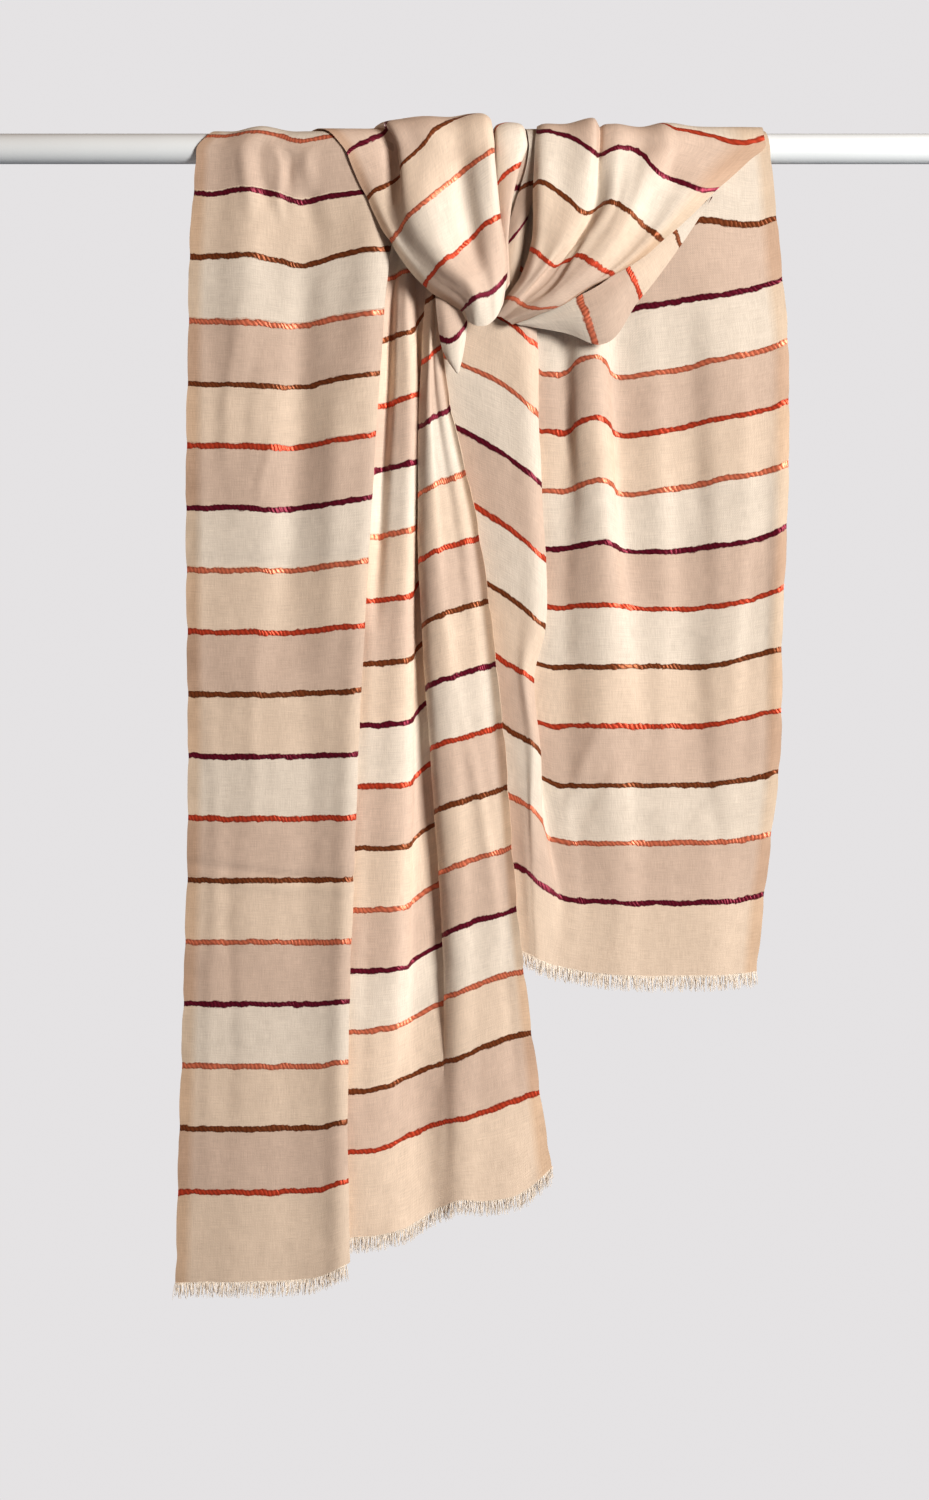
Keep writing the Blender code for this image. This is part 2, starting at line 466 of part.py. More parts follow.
# Each stretch: its fold lines, its path behind the rod, its rows below the rod and round it, and its
# colour.
STRETCHES = (
    ("left_fall", LEFT_FALL, "under", 16, 6, (0.80, 0.70, 0.58)),
    ("left_pleats", LEFT_PLEATS, "under", 16, 6, (0.86, 0.76, 0.64)),
    ("right_fall", RIGHT_FALL, "under", 14, 6, (0.84, 0.77, 0.66)),
    ("left_swag", LEFT_SWAG, "over", 10, 6, (0.88, 0.80, 0.69)),
    ("middle_pleat", MIDDLE_PLEAT, "over", 6, 6, (0.80, 0.66, 0.54)),
    ("inner_fold", INNER_FOLD, "over", 6, 6, (0.72, 0.58, 0.46)),
    ("right_swag", RIGHT_SWAG, "over", 11, 6, (0.90, 0.81, 0.68)),
    ("right_lining", RIGHT_LINING, None, 9, 0, (0.78, 0.66, 0.53)),
    ("left_lining", LEFT_LINING, None, 6, 0, (0.82, 0.70, 0.58)),
)

# Fringes: name, the stretch whose hem carries it, that stretch's path and rows, and the part of the
# hem that shows.
FRINGES = (
    ("left_fringe", LEFT_FALL, "under", 16, 0.0, 124.5),
    ("middle_fringe", LEFT_PLEATS, "under", 16, 187.5, 343.0),
    ("right_fringe", RIGHT_FALL, "under", 14, 14.0, 235.0),
)


def slopes(places, values):
    """Slope at each place, weighted so that a short span counts more than a long one."""
    steps = np.diff(places)[:, None]
    chords = np.diff(values, axis=0) / steps
    inner = (chords[:-1] * steps[1:] + chords[1:] * steps[:-1]) / (steps[1:] + steps[:-1])
    return np.vstack([chords[:1], inner, chords[-1:]])


def curve(places, values, wanted):
    """Smooth curve through the values at the places, read at the wanted places."""
    slope = slopes(places, values)
    index = np.clip(np.searchsorted(places, wanted, side="right") - 1, 0, len(places) - 2)
    span = (places[index + 1] - places[index])[:, None]
    t = (wanted - places[index])[:, None] / span
    return (
        values[index] * (2 * t**3 - 3 * t**2 + 1)
        + slope[index] * span * (t**3 - 2 * t**2 + t)
        + values[index + 1] * (3 * t**2 - 2 * t**3)
        + slope[index + 1] * span * (t**3 - t**2)
    )


def over_the_rod(fold, path):
    """Places of a fold line from the rod's front over its top and down into the loop behind it."""
    x, y, _ = fold.places[-1]
    back = UNDER_RADIUS if path == "under" else OVER_RADIUS
    places = []
    for turn in TURNS:
        if turn <= 90:
            radius = -y + (fold.top + y) * turn / 90
        else:
            radius = fold.top + (back - fold.top) * (turn - 90) / 90 * BACK_REACH[path]
        angle = np.radians(turn)
        shift = ROD_SHIFT * turn / 180
        places.append((x + (fold.foot - x) * shift, -radius * np.cos(angle), radius * np.sin(angle)))
    for depth, fall, shift in LOOPS[path]:
        places.append((x + (fold.foot - x) * shift, depth, -LOOP_DROP * fall))
    return places


def whole_line(stretch, fold, path):
    """How far along the cloth each place of a fold line is, over the rod too, and the places."""
    along = list(stretch.along)
    places = list(fold.places)
    if path:
        share = RUN_IN / (fold.rod - along[-1])
        if share < 0.5:  # the last span is long enough to be held straight near the rod
            near = np.add(np.multiply(places[-1], 1 - share), np.multiply(places[-2], share))
            along.append(fold.rod - RUN_IN)
            places.insert(-1, tuple(near))
        along.append(fold.rod)
        for place in over_the_rod(fold, path):
            along.append(along[-1] + float(np.linalg.norm(np.subtract(place, places[-1]))))
            places.append(place)
    return np.array(along, dtype=float), np.array(places, dtype=float)


def steps_over(along, front, turn_steps):
    """Where the rows over the rod come: even turns round it, then one at each place of the loop."""
    known = along[np.searchsorted(along, front):]
    turns = np.interp(np.linspace(0, 180, turn_steps + 1)[1:], (0, *TURNS), known[: len(TURNS) + 1])
    return np.concatenate([turns, known[len(TURNS) + 1:]])


def lengthwise(stretch, fold, path, rows_below, rows_over):
    """Places along one fold line: closer together towards the rod, then over it and into the loop."""
    along, places = whole_line(stretch, fold, path)
    front = fold.rod if path else along[-1]
    share = 1 - (1 - np.linspace(0, 1, rows_below + 1)) ** CROWDING[path]
    wanted = along[0] + (front - along[0]) * share
    if path:
        wanted = np.concatenate([wanted, steps_over(along, front, rows_over)])
    return curve(along, places, wanted)


def cloth_grid(stretch, path, rows_below, rows_over, across):
    """Grid of places: a row for each step along the cloth, a column for each wanted place across."""
    columns = np.array([lengthwise(stretch, fold, path, rows_below, rows_over) for fold in stretch.folds])
    known = np.array([fold.across for fold in stretch.folds], dtype=float)
    rows = [curve(known, columns[:, row], across) for row in range(columns.shape[1])]
    return np.array(rows)


def columns_across(stretch):
    """Places across the cloth for the columns of its wall: each fold line, and halfway between."""
    places = np.array([fold.across for fold in stretch.folds], dtype=float)
    return np.sort(np.concatenate([places, (places[1:] + places[:-1]) / 2]))


def grid_normals(grid):
    """Unit normal of the cloth at each place of a grid."""
    normal = np.cross(np.gradient(grid, axis=1), np.gradient(grid, axis=0))
    return normal / np.linalg.norm(normal, axis=2, keepdims=True)


def make_object(name, points, faces, colour, roughness):
    """Named mesh object, in metres, with a material of its own."""
    mesh = bpy.data.meshes.new(name)
    mesh.from_pydata([Vector(point) * MM for point in points], [], faces)
    shape = bmesh.new()
    shape.from_mesh(mesh)
    bmesh.ops.recalc_face_normals(shape, faces=shape.faces)
    bmesh.ops.triangulate(shape, faces=shape.faces)
    shape.to_mesh(mesh)
    shape.free()
    material = bpy.data.materials.new(name)
    material.use_nodes = True
    shader = material.node_tree.nodes["Principled BSDF"]
    shader.inputs["Base Color"].default_value = (*colour, 1.0)
    shader.inputs["Roughness"].default_value = roughness
    mesh.materials.append(material)
    made = bpy.data.objects.new(name, mesh)
    bpy.context.scene.collection.objects.link(made)
    return made


def make_cloth(name, stretch, path, rows_below, rows_over, colour):
    """Closed wall of cloth: the grid moved half a wall to each side, and joined round its edge."""
    grid = cloth_grid(stretch, path, rows_below, rows_over, columns_across(stretch))
    offset = grid_normals(grid) * WALL / 2
    rows, columns = grid.shape[:2]
    points = np.concatenate([(grid + offset).reshape(-1, 3), (grid - offset).reshape(-1, 3)])
    count = rows * columns
    faces = []
    for row in range(rows - 1):
        for column in range(columns - 1):
            a = row * columns + column
            b, c, d = a + 1, a + columns + 1, a + columns
            faces.append((a, b, c, d))
            faces.append((a + count, d + count, c + count, b + count))
    border = list(range(columns - 1))
    border += [row * columns + columns - 1 for row in range(rows - 1)]
    border += [count - 1 - column for column in range(columns - 1)]
    border += [row * columns for row in range(rows - 1, 0, -1)]
    for here, there in zip(border, border[1:] + border[:1]):
        faces.append((here, here + count, there + count, there))
    return make_object(name, points, faces, colour, CLOTH_ROUGHNESS)


def wave(size, step, strand):
    """Offset of one strand, from a wave that runs along the fringe."""
    return size * np.sin(step * strand)


def make_fringe(name, stretch, path, rows_below, first, last):
    """Strip just below a hem with a tapered strand hanging from every second step of it."""
    across = columns_across(stretch)
    across = across[(across >= first) & (across <= last)]
    grid = cloth_grid(stretch, path, rows_below, 1, across)
    hem = grid[0]
    down = grid[0] - grid[1]
    down /= np.linalg.norm(down, axis=1, keepdims=True)
    side = grid_normals(grid)[0]
    walked = np.concatenate([[0.0], np.cumsum(np.linalg.norm(np.diff(hem, axis=0), axis=1))])
    strands = int(walked[-1] / STRAND_PITCH)
    steps = np.linspace(0.0, walked[-1], 2 * strands + 2)
    hem, down, side = (
        np.array([np.interp(steps, walked, part[:, axis]) for axis in range(3)]).T
        for part in (hem, down, side)
    )
    points = []
    for place, fall, out in zip(hem, down, side):
        top = place + fall * SEAM_GAP
        foot = top + fall * STRIP_HEIGHT
        points += [top + out * WALL / 2, top - out * WALL / 2, foot + out * WALL / 2, foot - out * WALL / 2]
    faces = [(0, 1, 3, 2)]
    for step in range(len(hem) - 1):
        a, b = 4 * step, 4 * step + 4
        faces += [(a, b, b + 1, a + 1), (a, a + 2, b + 2, b), (a + 1, b + 1, b + 3, a + 3)]
        if step % 2:
            faces.append((a + 2, a + 3, b + 3, b + 2))
            continue
        strand = step // 2
        length = STRAND_LENGTH + sum(wave(*each, strand) for each in LENGTH_WAVES)
        lean = Vector((*(wave(*each, strand) for each in LEAN_WAVES), 0.0))
        tips = []
        drop = SEAM_GAP + STRIP_HEIGHT + length
        for corner in (0, 1):
            at = Vector(hem[step + corner]) + Vector(down[step + corner]) * drop
            middle = (Vector(hem[step]) + Vector(hem[step + 1])) / 2 - Vector(hem[step + corner])
            tips.append(len(points))
            points.append(at + lean + middle * STRAND_TAPER)
        left, right = tips
        faces += [(a + 2, left, right, b + 2), (a + 3, b + 3, right, left)]
        faces += [(a + 2, a + 3, left), (b + 2, right, b + 3)]
    end = 4 * (len(hem) - 1)
    faces.append((end, end + 2, end + 3, end + 1))
    return make_object(name, points, faces, FRINGE_COLOUR, FRINGE_ROUGHNESS)


def make_rod():
    """Round rod along x, with a small chamfer at each flat end."""
    half = ROD_LENGTH / 2
    rings = (
        (-half, ROD_RADIUS - ROD_CHAMFER),
        (-half + ROD_CHAMFER, ROD_RADIUS),
        (half - ROD_CHAMFER, ROD_RADIUS),
        (half, ROD_RADIUS - ROD_CHAMFER),
    )
    points = []
    for x, radius in rings:
        for side in range(ROD_SIDES):
            angle = 2 * np.pi * side / ROD_SIDES
            points.append((x, radius * np.cos(angle), radius * np.sin(angle)))
    faces = [tuple(range(ROD_SIDES)), tuple(range(3 * ROD_SIDES, 4 * ROD_SIDES))]
    for ring in range(3):
        for side in range(ROD_SIDES):
            a = ring * ROD_SIDES + side
            b = ring * ROD_SIDES + (side + 1) % ROD_SIDES
            faces.append((a, b, b + ROD_SIDES, a + ROD_SIDES))
    return make_object("rod", points, faces, ROD_COLOUR, ROD_ROUGHNESS)


def main():
    for old in list(bpy.data.objects):
        bpy.data.objects.remove(old, do_unlink=True)
    make_rod()
    for name, stretch, path, rows_below, rows_over, colour in STRETCHES:
        make_cloth(name, stretch, path, rows_below, rows_over, colour)
    for name, stretch, path, rows_below, first, last in FRINGES:
        make_fringe(name, stretch, path, rows_below, first, last)


main()
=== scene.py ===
"""A striped stole hung over a round rod and caught up into a swag: the finished looks of its pieces.

Laid out as an add-on: sizes and colours are properties, one operator makes each group of pieces, and
main() calls them in order. Every cloth is a thin shell through the same fold lines as its solid, with
finer rows, soft creases and a woven finish. Fold tables are in millimetres, meshes in metres.
"""
import math

import bmesh
import bpy
import numpy as np
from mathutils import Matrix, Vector, noise


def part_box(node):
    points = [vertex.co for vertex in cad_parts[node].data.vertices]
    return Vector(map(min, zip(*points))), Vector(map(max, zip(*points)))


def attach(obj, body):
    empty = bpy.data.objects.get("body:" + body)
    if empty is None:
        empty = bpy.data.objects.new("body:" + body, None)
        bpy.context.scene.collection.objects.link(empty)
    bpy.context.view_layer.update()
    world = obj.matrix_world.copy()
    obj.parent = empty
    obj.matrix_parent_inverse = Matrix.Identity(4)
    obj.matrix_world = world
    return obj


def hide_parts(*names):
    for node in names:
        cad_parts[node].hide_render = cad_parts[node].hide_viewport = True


bl_info = {
    "name": "Draped Striped Stole",
    "version": (1, 0, 0),
    "blender": (4, 5, 0),
    "location": "3D View > Sidebar > Stole",
    "description": "Builds a striped stole, its fringes and the rod that it hangs over",
    "category": "Object",
}

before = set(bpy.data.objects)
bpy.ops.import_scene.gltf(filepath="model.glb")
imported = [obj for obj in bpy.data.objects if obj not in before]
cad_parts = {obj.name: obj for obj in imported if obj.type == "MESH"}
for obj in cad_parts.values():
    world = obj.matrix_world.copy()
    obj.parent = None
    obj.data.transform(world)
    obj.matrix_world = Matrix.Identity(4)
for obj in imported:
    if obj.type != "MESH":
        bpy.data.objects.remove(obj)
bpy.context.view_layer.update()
ROD_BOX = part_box("rod")

MM = 0.001

# Sizes that the cloth's solids share, in millimetres
UNDER_RADIUS = 12.6     # path of the falls behind the rod
OVER_RADIUS = 22.0      # path of the swags behind the rod
LOOP_DROP = 50.0        # depth of the loops behind the rod, below its axis
CROWDING = {"under": 1.35, "over": 1.0, None: 1.0}  # how much closer the rows lie towards the rod
RUN_IN = 12.0           # straight stretch below the rod, before the cloth bends over it
ROD_SHIFT = 0.6         # share of the way to its foot that a fold goes sideways over the rod
BACK_REACH = {"under": 0.6, "over": 1.0}  # share of the way to its path's radius, behind the rod
TURNS = (20, 50, 90, 135, 180)  # degrees round the rod, from its front
# Loop behind the rod: depth, share of the drop, share of the way from the fold's x to its foot.
LOOPS = {
    "under": ((12.8, 0.45, 0.8), (13.8, 0.86, 1.0), (17.8, 1.0, 1.0)),
    "over": ((23.8, 0.45, 0.8), (23.0, 0.86, 1.0), (19.3, 1.0, 1.0)),
}

# Net and softness of the cloth, in millimetres
TURN_LENGTH = 45.0      # of cloth over the rod
SWAY_TURNS = 1.2        # how often a crease sways between its ends
CREASE_BLUNTNESS = 0.7  # below 1, a crease keeps its height nearer to its ends
BROAD_SIZE = 28.0       # of the unevenness's broad features
FINE_SIZE = 9.0         # of its fine features
FINE_SHARE = 0.45       # height of the fine features against the broad ones
SEED_STEP = 1.7         # keeps the unevenness of one stretch unlike the next one's
CALM_REACH = 60.0       # below the rod, where the cloth lies smoother
CALM_LEAST = 0.15       # share of the unevenness that stays at the rod
PULL = 0.8              # how far a stripe draws a selvedge in
PULL_REACH = 5.0        # how far that reaches into the cloth
PULL_LENGTH = 7.0       # and along it
PULL_SIZE = 14.0        # of the features in the uneven part of that pull
EDGE_WAVE = 0.9         # height of the selvedge's waves
EDGE_SIZE = 18.0        # size of those waves
FAR = 1000.0            # distance where there is no selvedge
TINY = 1e-9             # keeps a division safe
HEM_STEP = 2.0          # between the points of a line along a hem
HEM_NET_STEP = 6.0      # of the net that such a line is read from
CLOTH_SHARP_ANGLE = math.radians(60)
ROD_SHARP_ANGLE = math.radians(40)

# Finish of the cloth: sizes in metres, and pairs that hold the darkest and the lightest share
STRIPE_DRIFT = 3.0              # how many wavers a stripe drifts from straight
STRIPE_JAG = 2.2                # how many wavers its edge is ragged by
STRIPE_SWELL = (0.55, 1.45)     # its thinnest and its thickest, against its width
STRIPE_SOFT_EDGE = 0.0007       # over which it fades into the ground
STRIPE_RELIEF = 3.0             # its height against the weave's
TWIST_LENGTH = 0.0030           # of one turn of its plies, along the yarn
TWIST_RISE = 0.0052             # of one turn, across the yarn
# painted shade of the stripes' yarn: darkest share at its sides and between its plies, lightest along its
# crown
TWIST_PAINTED_SHADE = (0.45, 1.2)
THREAD_LIGHT = (0.82, 1.14)
PATCH_LIGHT = (0.93, 1.05)
SLUB_PATCHES = ((90.0, 1900.0), (1700.0, 110.0))    # in a metre across the cut and along it
BROAD_PATCHES = ((70.0, 24.0), (20.0, 75.0), (190.0, 60.0))
# darker selvedge strip: partly its denser weave, partly painted shade where the edge curls away from the
# light
DENSE_AND_SHADED_TINT = (0.80, 0.66, 0.53, 1.0)                # of the selvedge
FINE_RELIEF = 0.0001            # of yarn and paint

# Yarns of the fringe
FRINGE_TREE = "Fringe yarns"
YARN_ROOT = 0.0005              # start of a yarn above the hem, in metres
YARN_TIP = 0.45                 # thickness at its tip against its root
YARN_LEAST = (0.8, 0.8, 0.72)   # smallest and largest scale of its round and its length
YARN_MOST = (1.25, 1.25, 1.12)

# Stage, in metres: edges of the floor and the wall, and the lamps
STAGE_FRONT = -9.0
STAGE_WALL = 7.0
STAGE_TOP = 9.0
STAGE_HALF = 12.0
STAGE_BEND = 2.0        # radius of the curve between floor and wall
SENSOR = 36.0           # height of the camera's picture, in millimetres
BLACK = (0.0, 0.0, 0.0, 1.0)
# Each lamp: name, place, where it points and size.
LAMPS = (
    ("key", (2.0, -2.15, 0.3), (0.0, 0.0, -0.5), (0.8, 1.1)),
    ("rear", (-1.7, 2.3, 0.4), (0.0, 0.0, -0.4), (1.2, 1.2)),
)


class Fold:
    """One fold line of a stretch of cloth, in millimetres.

    across: its place across the cut cloth. x, y, z: its places at the stretch's stations along the
    cloth, and last where it meets the front of the rod. rod: how far along the cloth that is. top:
    its radius over the rod's top. foot: its x at the foot of the loop behind the rod.
    """

    def __init__(self, across, x, y, z, rod=None, top=None, foot=None):
        self.across = across
        self.places = list(zip(x, y, z))
        self.rod = rod
        self.top = top
        self.foot = foot


class Stretch:
    """A stretch of cloth: its stations along the cut cloth, which all its folds share, and its folds."""

    def __init__(self, along, folds):
        self.along = along
        self.folds = folds


# Front panel of the long end, from its selvedge to the fold and its return.
LEFT_FALL = Stretch(
    along=(0, 61, 322, 583.5, 670.5, 714, 757.5),
    folds=(
        Fold(0, rod=791.5, top=12, foot=-142,
             x=(-202.5, -201, -194, -195, -193.5, -193, -190, -187),
             y=(-13, -13, -12.5, -12.5, -12.5, -12.5, -12.2, -12),
             z=(-796, -732, -470.5, -209.5, -122.5, -77.5, -33, 0)),
        Fold(19.5, rod=791.5, top=12, foot=-131,
             x=(-184, -182.5, -176, -176, -175.5, -174.5, -173, -172),
             y=(-14, -14, -13.5, -13.5, -13.5, -13.5, -13, -12),
             z=(-795, -732, -471, -210, -123, -77.5, -33.5, 0)),
        Fold(46, rod=789.5, top=15.5, foot=-115,
             x=(-157, -156.5, -150, -150, -150, -149.5, -149.5, -149.5),
             y=(-15.5, -15.5, -15, -15.5, -16.5, -17, -16.5, -15.5),
             z=(-794.5, -732, -471, -210.5, -124, -77, -31.5, 0)),
        Fold(61.5, rod=792.5, top=12.4, foot=-103,
             x=(-142, -141, -135, -135, -132.5, -132, -132, -132.5),
             y=(-15, -15, -14.5, -14.5, -13.5, -13, -12.6, -12.4),
             z=(-794.5, -732, -471, -211.5, -125.5, -80, -34.5, 0)),
        Fold(82.5, rod=797.5, top=12, foot=-93,
             x=(-121.5, -120.5, -115, -113.5, -113, -113.5, -116, -117),
             y=(-13.5, -13.5, -13, -12.5, -12, -12, -12, -12),
             z=(-794, -731.5, -471, -210.5, -126, -83.5, -39, 0)),
        Fold(106.5, rod=792.5, top=12.4, foot=-75,
             x=(-100, -100, -94, -87, -86.5, -86.5, -89, -92),
             y=(-14.5, -14.5, -14.5, -14.5, -14, -13.5, -13, -12.4),
             z=(-790.5, -729.5, -470.5, -206, -120.5, -77, -34.5, 0)),
        Fold(120.5, rod=790.5, top=12.2, foot=-60.5,
             x=(-86, -87, -81.5, -68, -64, -63.5, -67.5, -72),
             y=(-16.5, -16.5, -16.5, -16.5, -16.2, -15.8, -13.6, -12.2),
             z=(-784, -725, -470.5, -203, -117.5, -73, -32, 0)),
        Fold(128, rod=789.5, top=12, foot=-55.5,
             x=(-80, -81.5, -76, -62, -56.5, -54, -58.5, -64),
             y=(-14, -14, -14, -14, -13.8, -13.6, -13.2, -12),
             z=(-781, -724, -469.5, -201.5, -116, -72, -31.5, 0)),
        Fold(136, rod=788, top=12, foot=-51,
             x=(-85, -86.5, -81.5, -68, -59, -52.5, -53, -57.5),
             y=(-11.5, -11.5, -11.5, -11.5, -11.2, -11.9, -12.5, -12),
             z=(-778.5, -719.5, -467, -199.5, -114, -71.5, -31, 0)),
        Fold(158, rod=787, top=12, foot=-45,
             x=(-107, -107.5, -103, -89, -65, -51.5, -47, -49.5),
             y=(-9.5, -9.5, -9.5, -9.5, -9.5, -9.7, -11.4, -12),
             z=(-774, -714, -460.5, -192.5, -109, -68.5, -29.5, 0)),
    ),
)

# The two pleats beside it, from the hidden fold to the other selvedge.
LEFT_PLEATS = Stretch(
    along=(0, 61, 191.5, 322, 453, 583.5, 670.5, 719.5),
    folds=(
        Fold(165, rod=773.5, top=12, foot=-41.5,
             x=(-105.5, -106, -106, -101, -93.5, -86, -69, -50, -46),
             y=(-5.5, -5.5, -5.5, -5.5, -5.5, -5.5, -5.8, -8.1, -12),
             z=(-773, -711, -586, -456.5, -322.5, -186, -94, -51, 0)),
        Fold(187.5, rod=772, top=12, foot=-33,
             x=(-83.5, -84.5, -84.5, -78, -71, -61, -53.5, -43, -39),
             y=(-6.5, -6.5, -6.5, -6.5, -6.5, -6.5, -7, -9, -12),
             z=(-766, -705.5, -579, -449.5, -318.5, -181.5, -91.5, -49, 0)),
        Fold(210, rod=770, top=12, foot=-26,
             x=(-60.5, -61, -62, -56.5, -52, -46.5, -44, -37.5, -32.5),
             y=(-8.5, -8.5, -8.5, -8.5, -8.5, -8.5, -9.5, -10.3, -12),
             z=(-763, -703, -577.5, -448.5, -317, -178, -88, -45.5, 0)),
        Fold(222.5, rod=768.5, top=12, foot=-20.5,
             x=(-48, -48.5, -46, -41.5, -40, -37, -39, -32.5, -27.5),
             y=(-9, -9, -9.5, -9.5, -10, -10.5, -11, -10.9, -12),
             z=(-760, -698.5, -576, -447.5, -315, -175.5, -87, -44.5, 0)),
        Fold(229.5, rod=767, top=12, foot=-16.5,
             x=(-41, -41.5, -40, -37, -36, -32.5, -36, -29, -24),
             y=(-8, -7.5, -6.5, -6.5, -6.5, -7, -9, -10.8, -12),
             z=(-758, -695, -574.5, -446, -313, -173.5, -84.5, -42, 0)),
        Fold(238, rod=765, top=12, foot=-11.5,
             x=(-32.5, -33, -36, -34.5, -34.5, -32.5, -33, -24.5, -20),
             y=(-6, -5, -3, -2.5, -2, -2.5, -6.5, -10.8, -12),
             z=(-753, -691, -570.5, -441.5, -308.5, -169.5, -81, -38.5, 0)),
        Fold(246.5, rod=762.5, top=12, foot=-6.5,
             x=(-25.5, -25.5, -24, -28.5, -31, -30.5, -29, -20, -15.5),
             y=(-5, -4, -1.6, -0.6, -0.2, -1.5, -6, -10.9, -12),
             z=(-748.5, -687.5, -563, -435.5, -304, -164, -77.5, -34.5, 0)),
        Fold(257.5, rod=758, top=12, foot=-2,
             x=(-18.5, -16.5, -10, -17, -24, -25.5, -24, -15.5, -11.5),
             y=(-6, -5, -3.6, -3.4, -3.4, -4.5, -8, -11.6, -12),
             z=(-744, -684.5, -556, -427.5, -296, -155.5, -72, -29.5, 0)),
        Fold(267.5, rod=755.5, top=12, foot=2,
             x=(-13, -11, -15.5, -24, -32, -30.5, -22, -11, -8),
             y=(-8.5, -8, -8, -8, -8, -8.5, -10.5, -12.1, -12),
             z=(-742, -683, -553, -423.5, -291, -151, -68.5, -26, 0)),
        Fold(273, rod=753, top=12, foot=5,
             x=(-8, -7.5, -12, -21.5, -29, -27.5, -19, -8, -5),
             y=(-11, -11, -12.5, -12.5, -12.5, -12.5, -12.5, -12.4, -12),
             z=(-739, -682.5, -551, -421.5, -289, -150, -66.5, -23, 0)),
        Fold(297.5, rod=751, top=12, foot=9,
             x=(16.5, 13.5, 6.5, -2.5, -14.5, -23.5, -15, -5, -2.5),
             y=(-14, -14.5, -16.5, -16.5, -16, -14.5, -13, -12.6, -12),
             z=(-738, -676, -543, -415, -281.5, -146.5, -64.5, -20.5, 0)),
        Fold(323.5, rod=748.5, top=12, foot=11.5,
             x=(42.5, 37, 25.5, 15.5, 2, -19, -11.5, -2, 0.5),
             y=(-15.5, -16, -19.6, -19.6, -18.6, -15.5, -13.5, -12.6, -12),
             z=(-731, -667, -537.5, -409.5, -277, -143, -62.5, -17.5, 0)),
        Fold(343, rod=746, top=12, foot=15,
             x=(61, 53, 37, 27, 11, -15, -8, 1, 3),
             y=(-15, -16, -21, -21, -19.4, -15.5, -13.5, -12.5, -12),
             z=(-714.5, -661.5, -533.5, -405.5, -274.5, -139.5, -60, -15, 0)),
    ),
)

